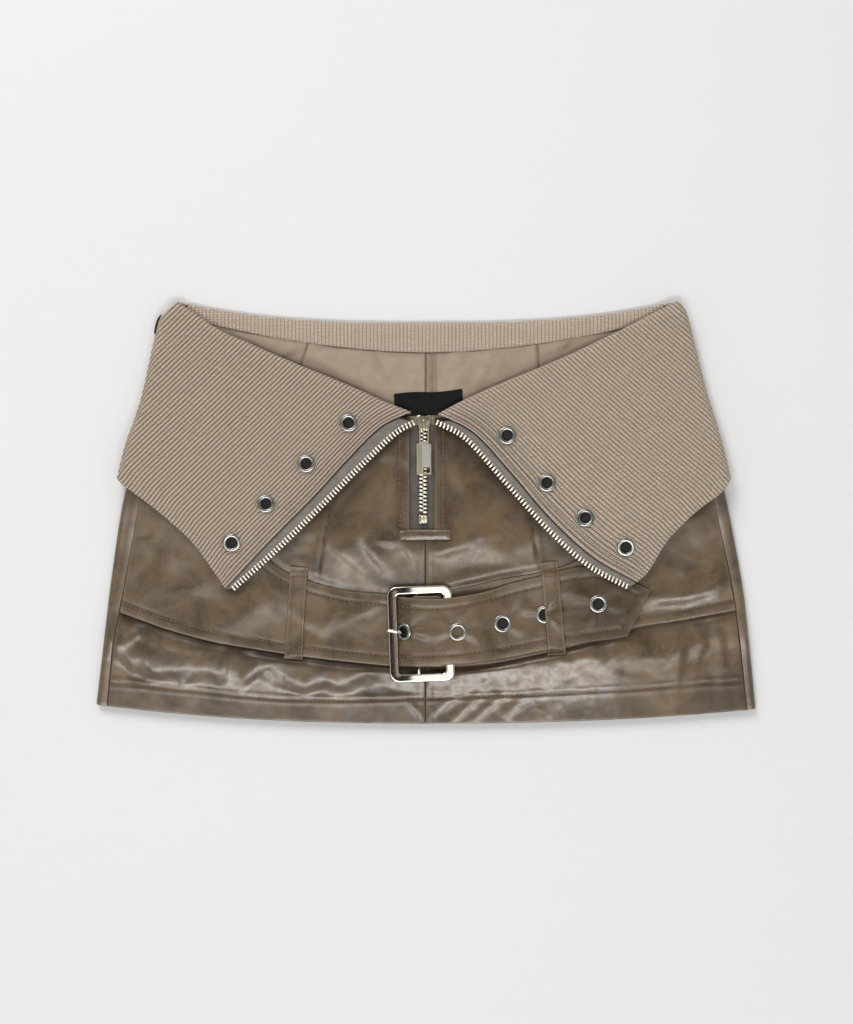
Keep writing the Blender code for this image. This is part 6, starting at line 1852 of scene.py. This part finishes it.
tab = {"from": 0.2, "to": 0.35, "out": 1.3, "middle": 5.4, "half": 2.1, "thick": 0.4, "cut": 10.5}


def tabPiece():
    # small folded loop that peeks out of the left side
    edge = through(leftLapel["side"], np.linspace(tab["from"], tab["to"], 26))
    turn = np.radians(np.linspace(-90, 90, 15))[None]
    bulge = np.sin(np.linspace(0, math.pi, 26))[:, None] ** 0.35
    x = edge[:, :1] - 0.1 - tab["out"] * np.cos(turn) * bulge
    y = edge[:, 1:] + 0 * x
    z = tab["middle"] + tab["half"] * np.sin(turn) * (0.7 + 0.3 * bulge)
    middle = np.dstack([x, y, z])
    clothPiece("side_loop_tab", "side_tab", "side_tab", middle, tab["thick"], tabCloth, "folded",
               ["collar_lapel_left"], width=tab["cut"], uv=np.dstack([x * 0.1, y * 0.1]), rounding=0.2)


pullFaceGrey = metalFinish("pull_face_grey", (0.50, 0.49, 0.46), (0.36, 0.35, 0.33), (0.28, 0.42))
pullFaceDull = metalFinish("pull_face_olive", (0.44, 0.40, 0.26), (0.32, 0.29, 0.18), (0.25, 0.40))
openZip("left", leftLapel)
openZip("right", rightLapel)
closedZip()
sliderPieces()
pullPieces()
weltPiece()
labelPiece()
tabPiece()
print("zip, pull tab, welt and label made")


# stitches

def onFront(x, y):
    return openFront(x, y) + cloth["leather"] / 2 - 0.2


def onStrap(x, y):
    return strapHeight(x, y) + cloth["band"] / 2 - 0.15


def onRightBand(x, y):
    return rightBandHeight(x, y) + cloth["band"] / 2 + 0.1


def insetLine(rows, inset, fromTop, end):
    # line that keeps its distance from a band's top or bottom edge, up to a share of its length
    fine = through(rows, np.linspace(0, end, 60))
    top, low = fine[:, :2], fine[:, 2:]
    way = unit(low - top)
    return top + way * inset if fromTop else low - way * inset


def sewAll():
    # top stitches of leather, the shorts' overlocked centre seam, and the hem's row on the back
    inset = bandSizes["inset"]
    template = capsule(6, 4)
    hem = hemStitchLine[np.abs(hemStitchLine[:, 0]) < 221]
    hems = [hem[:7], hem[6:]]
    strapLines = [insetLine(leftBandRows, inset, True, 0.96), insetLine(leftBandRows, inset, False, 0.97)]
    rows = [stitchRow(hems + [flyStitch["left"], flyStitch["right"]], onFront),
            stitchRow(strapLines, onStrap),
            stitchRow([insetLine(rightBandRows, inset, False, 0.36)], onRightBand)]
    for word in ("left", "right"):
        side = 1 - loopSizes["stitch"] * 2 / loopSizes["width"]
        run = np.linspace(0.03, 0.97, 40)
        lines = [np.column_stack(loopPlan(word, across, run)) for across in (-side, side)]

        def onLoop(x, y, word=word):
            return loopHeight(word, x, y) + loopSizes["thick"] / 2 + 0.05

        rows.append(stitchRow(lines, onLoop, 2.1, 0.7))
    places, turns = (np.concatenate([row[k] for row in rows]) for k in (0, 1))
    sewn = repeated("top_stitches", template, places, turns, seamThread)
    finishPiece(sewn, "leather")
    zig = np.arange(84.0, 113.0, 1.9)
    ladder = [[(1.0, y), (7.2, y + 0.9)] for y in zig]
    lines = [[(0.9, 84.0), (0.7, 112.5)], [(7.3, 84.0), (7.0, 112.5)]]

    def onShorts(x, y):
        return shortsBackTop(x, y) + cloth["shorts"] / 2 + 0.1

    cross = stitchRow(ladder, onShorts, 5.6, 1.2, 0.2)
    beside = stitchRow(lines, onShorts, 1.9, 0.3, 0.22)
    places, turns = (np.concatenate([cross[k], beside[k]]) for k in (0, 1))
    overlock = repeated("shorts_overlock", template, places, turns, shortsThread)
    finishPiece(overlock, "shorts_cloth")
    backHem = stitchRow(hems, lambda x, y: 0.27 + 0 * x)
    under = repeated("back_hem_stitches", template, *backHem, seamThread)
    finishPiece(under, "leather")


sewAll()
print("stitches made")


# floor, light and camera

studio = {"cameraHeight": 1.606, "fieldHeight": 0.7168, "shiftX": 0.00035,
          "floorZ": -0.0004, "floorHalf": 3.0, "floorTone": 0.80,
          "skyStrength": 0.62, "zenithTone": 0.015, "zenithWide": 0.46, "glintStrength": 1.25}


def studioFloor():
    mesh = bpy.data.meshes.new("floor")
    half = studio["floorHalf"]
    corners = [(x * half, y * half, studio["floorZ"]) for x, y in ((-1, -1), (1, -1), (1, 1), (-1, 1))]
    mesh.from_pydata(corners, [], [(0, 1, 2, 3)])
    made, tree, shader = newFinish("pale_floor", Roughness=0.95, Specular_IOR_Level=0.1)
    tone = studio["floorTone"]
    grain = noise(tree, coordinates(tree, "Object"), 3.0, 2.0)
    plug(tree, tint(tree, grain, (tone,) * 3, (tone * 0.99,) * 3), shader.inputs["Base Color"])
    floor = bpy.data.objects.new("floor", mesh)
    mesh.materials.append(made)
    bpy.context.scene.collection.objects.link(floor)


# the metal mirrors a white patch just beside straight up, and next to it a brown strip and a thin
# white one, both turned with the buckle; ranges are of the sky's own X, and half heights of its Y
glints = {"y": -0.053, "patchX": (-0.0065, 0.03), "patchHalf": 0.04, "brownX": (-0.0139, -0.0131),
          "thinX": (-0.0131, -0.0126), "stripHalf": 0.0185, "brownLevel": 0.36, "brown": (1.0, 0.52, 0.27)}


def between(tree, value, low, high):
    return times(tree, calc(tree, "GREATER_THAN", value, low), calc(tree, "LESS_THAN", value, high))


def studioSky():
    # pale all round, with a darker patch overhead that flat leather and metal mirror
    world = bpy.data.worlds.new("studio")
    bpy.context.scene.world = world
    world.use_nodes = True
    tree = world.node_tree
    ground = tree.nodes["Background"]
    split = tree.nodes.new("ShaderNodeSeparateXYZ")
    plug(tree, coordinates(tree, "Generated"), split.inputs[0])
    x, y, z = split.outputs
    away = calc(tree, "SQRT", plus(tree, times(tree, x, x), times(tree, y, y)))
    overhead = spread(tree, away, studio["zenithWide"], studio["zenithWide"] * 1.6)
    tone = calc(tree, "MAXIMUM", overhead, calc(tree, "LESS_THAN", z, 0.0))
    offY = calc(tree, "SUBTRACT", y, glints["y"])
    gapY = calc(tree, "ABSOLUTE", offY)
    inPatch, inStrip = (calc(tree, "LESS_THAN", gapY, glints[key]) for key in ("patchHalf", "stripHalf"))
    patch = times(tree, inPatch, between(tree, x, *glints["patchX"]))
    turned = calc(tree, "MULTIPLY_ADD", offY, math.tan(math.radians(buckle["turn"])), x)
    brown, thin = (times(tree, inStrip, between(tree, turned, *glints[key])) for key in ("brownX", "thinX"))
    level = spread(tree, tone, 0.0, 1.0, studio["zenithTone"], studio["skyStrength"])
    for share, strength in ((patch, studio["glintStrength"]), (thin, studio["glintStrength"]),
                            (brown, glints["brownLevel"])):
        level = plus(tree, level, times(tree, share, strength))
    plug(tree, tint(tree, brown, (1.0, 1.0, 1.0), glints["brown"]), ground.inputs["Color"])
    plug(tree, level, ground.inputs["Strength"])


def softbox(name, angle, turnZ, distance, size, power, sheen):
    # panel of light at an angle from straight up, leaning towards -Y before it is turned round Z;
    # with sheen True it is only seen in glossy surfaces, with sheen False it is not seen in them
    data = bpy.data.lights.new(name, "AREA")
    data.shape, data.size, data.size_y, data.energy = "RECTANGLE", size[0], size[1], power
    lamp = bpy.data.objects.new(name, data)
    lean, spin = math.radians(angle), math.radians(turnZ)
    out = distance * math.sin(lean)
    lamp.location = (out * math.sin(spin), -out * math.cos(spin), distance * math.cos(lean))
    lamp.rotation_euler = (lean, 0.0, spin)
    lamp.visible_diffuse, lamp.visible_glossy = sheen is not True, sheen is not False
    bpy.context.scene.collection.objects.link(lamp)


def studioCamera():
    # straight down from above the middle; heights of the camera and of its field are in metres
    data = bpy.data.cameras.new("overhead")
    data.sensor_width, data.sensor_fit = 36.0, "AUTO"
    data.lens = data.sensor_width * studio["cameraHeight"] / studio["fieldHeight"]
    data.clip_start, data.clip_end = 0.05, 20.0
    camera = bpy.data.objects.new("overhead", data)
    camera.location = (studio["shiftX"], 0.0, studio["cameraHeight"])
    bpy.context.scene.collection.objects.link(camera)
    bpy.context.scene.camera = camera


# name, angle, turn, distance, size, power, and how it is seen in glossy surfaces
softboxes = [
    ("front_softbox", 24.0, 0.0, 2.2, (1.7, 0.30), 21.0, False),
    ("top_softbox", 50.0, 205.0, 2.4, (1.2, 1.2), 28.0, None),
    ("sheen_softbox_1", 24.0, 0.0, 2.32, (2.0, 1.15), 19.0, True),
    ("sheen_softbox_2", 24.0, 0.0, 2.34, (1.8, 0.75), 13.0, True),
    ("sheen_softbox_3", 24.0, 0.0, 2.36, (1.6, 0.4), 7.5, True)]

studioFloor()
studioSky()
for light in softboxes:
    softbox(*light)
studioCamera()
bpy.context.scene.view_settings.view_transform = "Standard"
print("studio made")
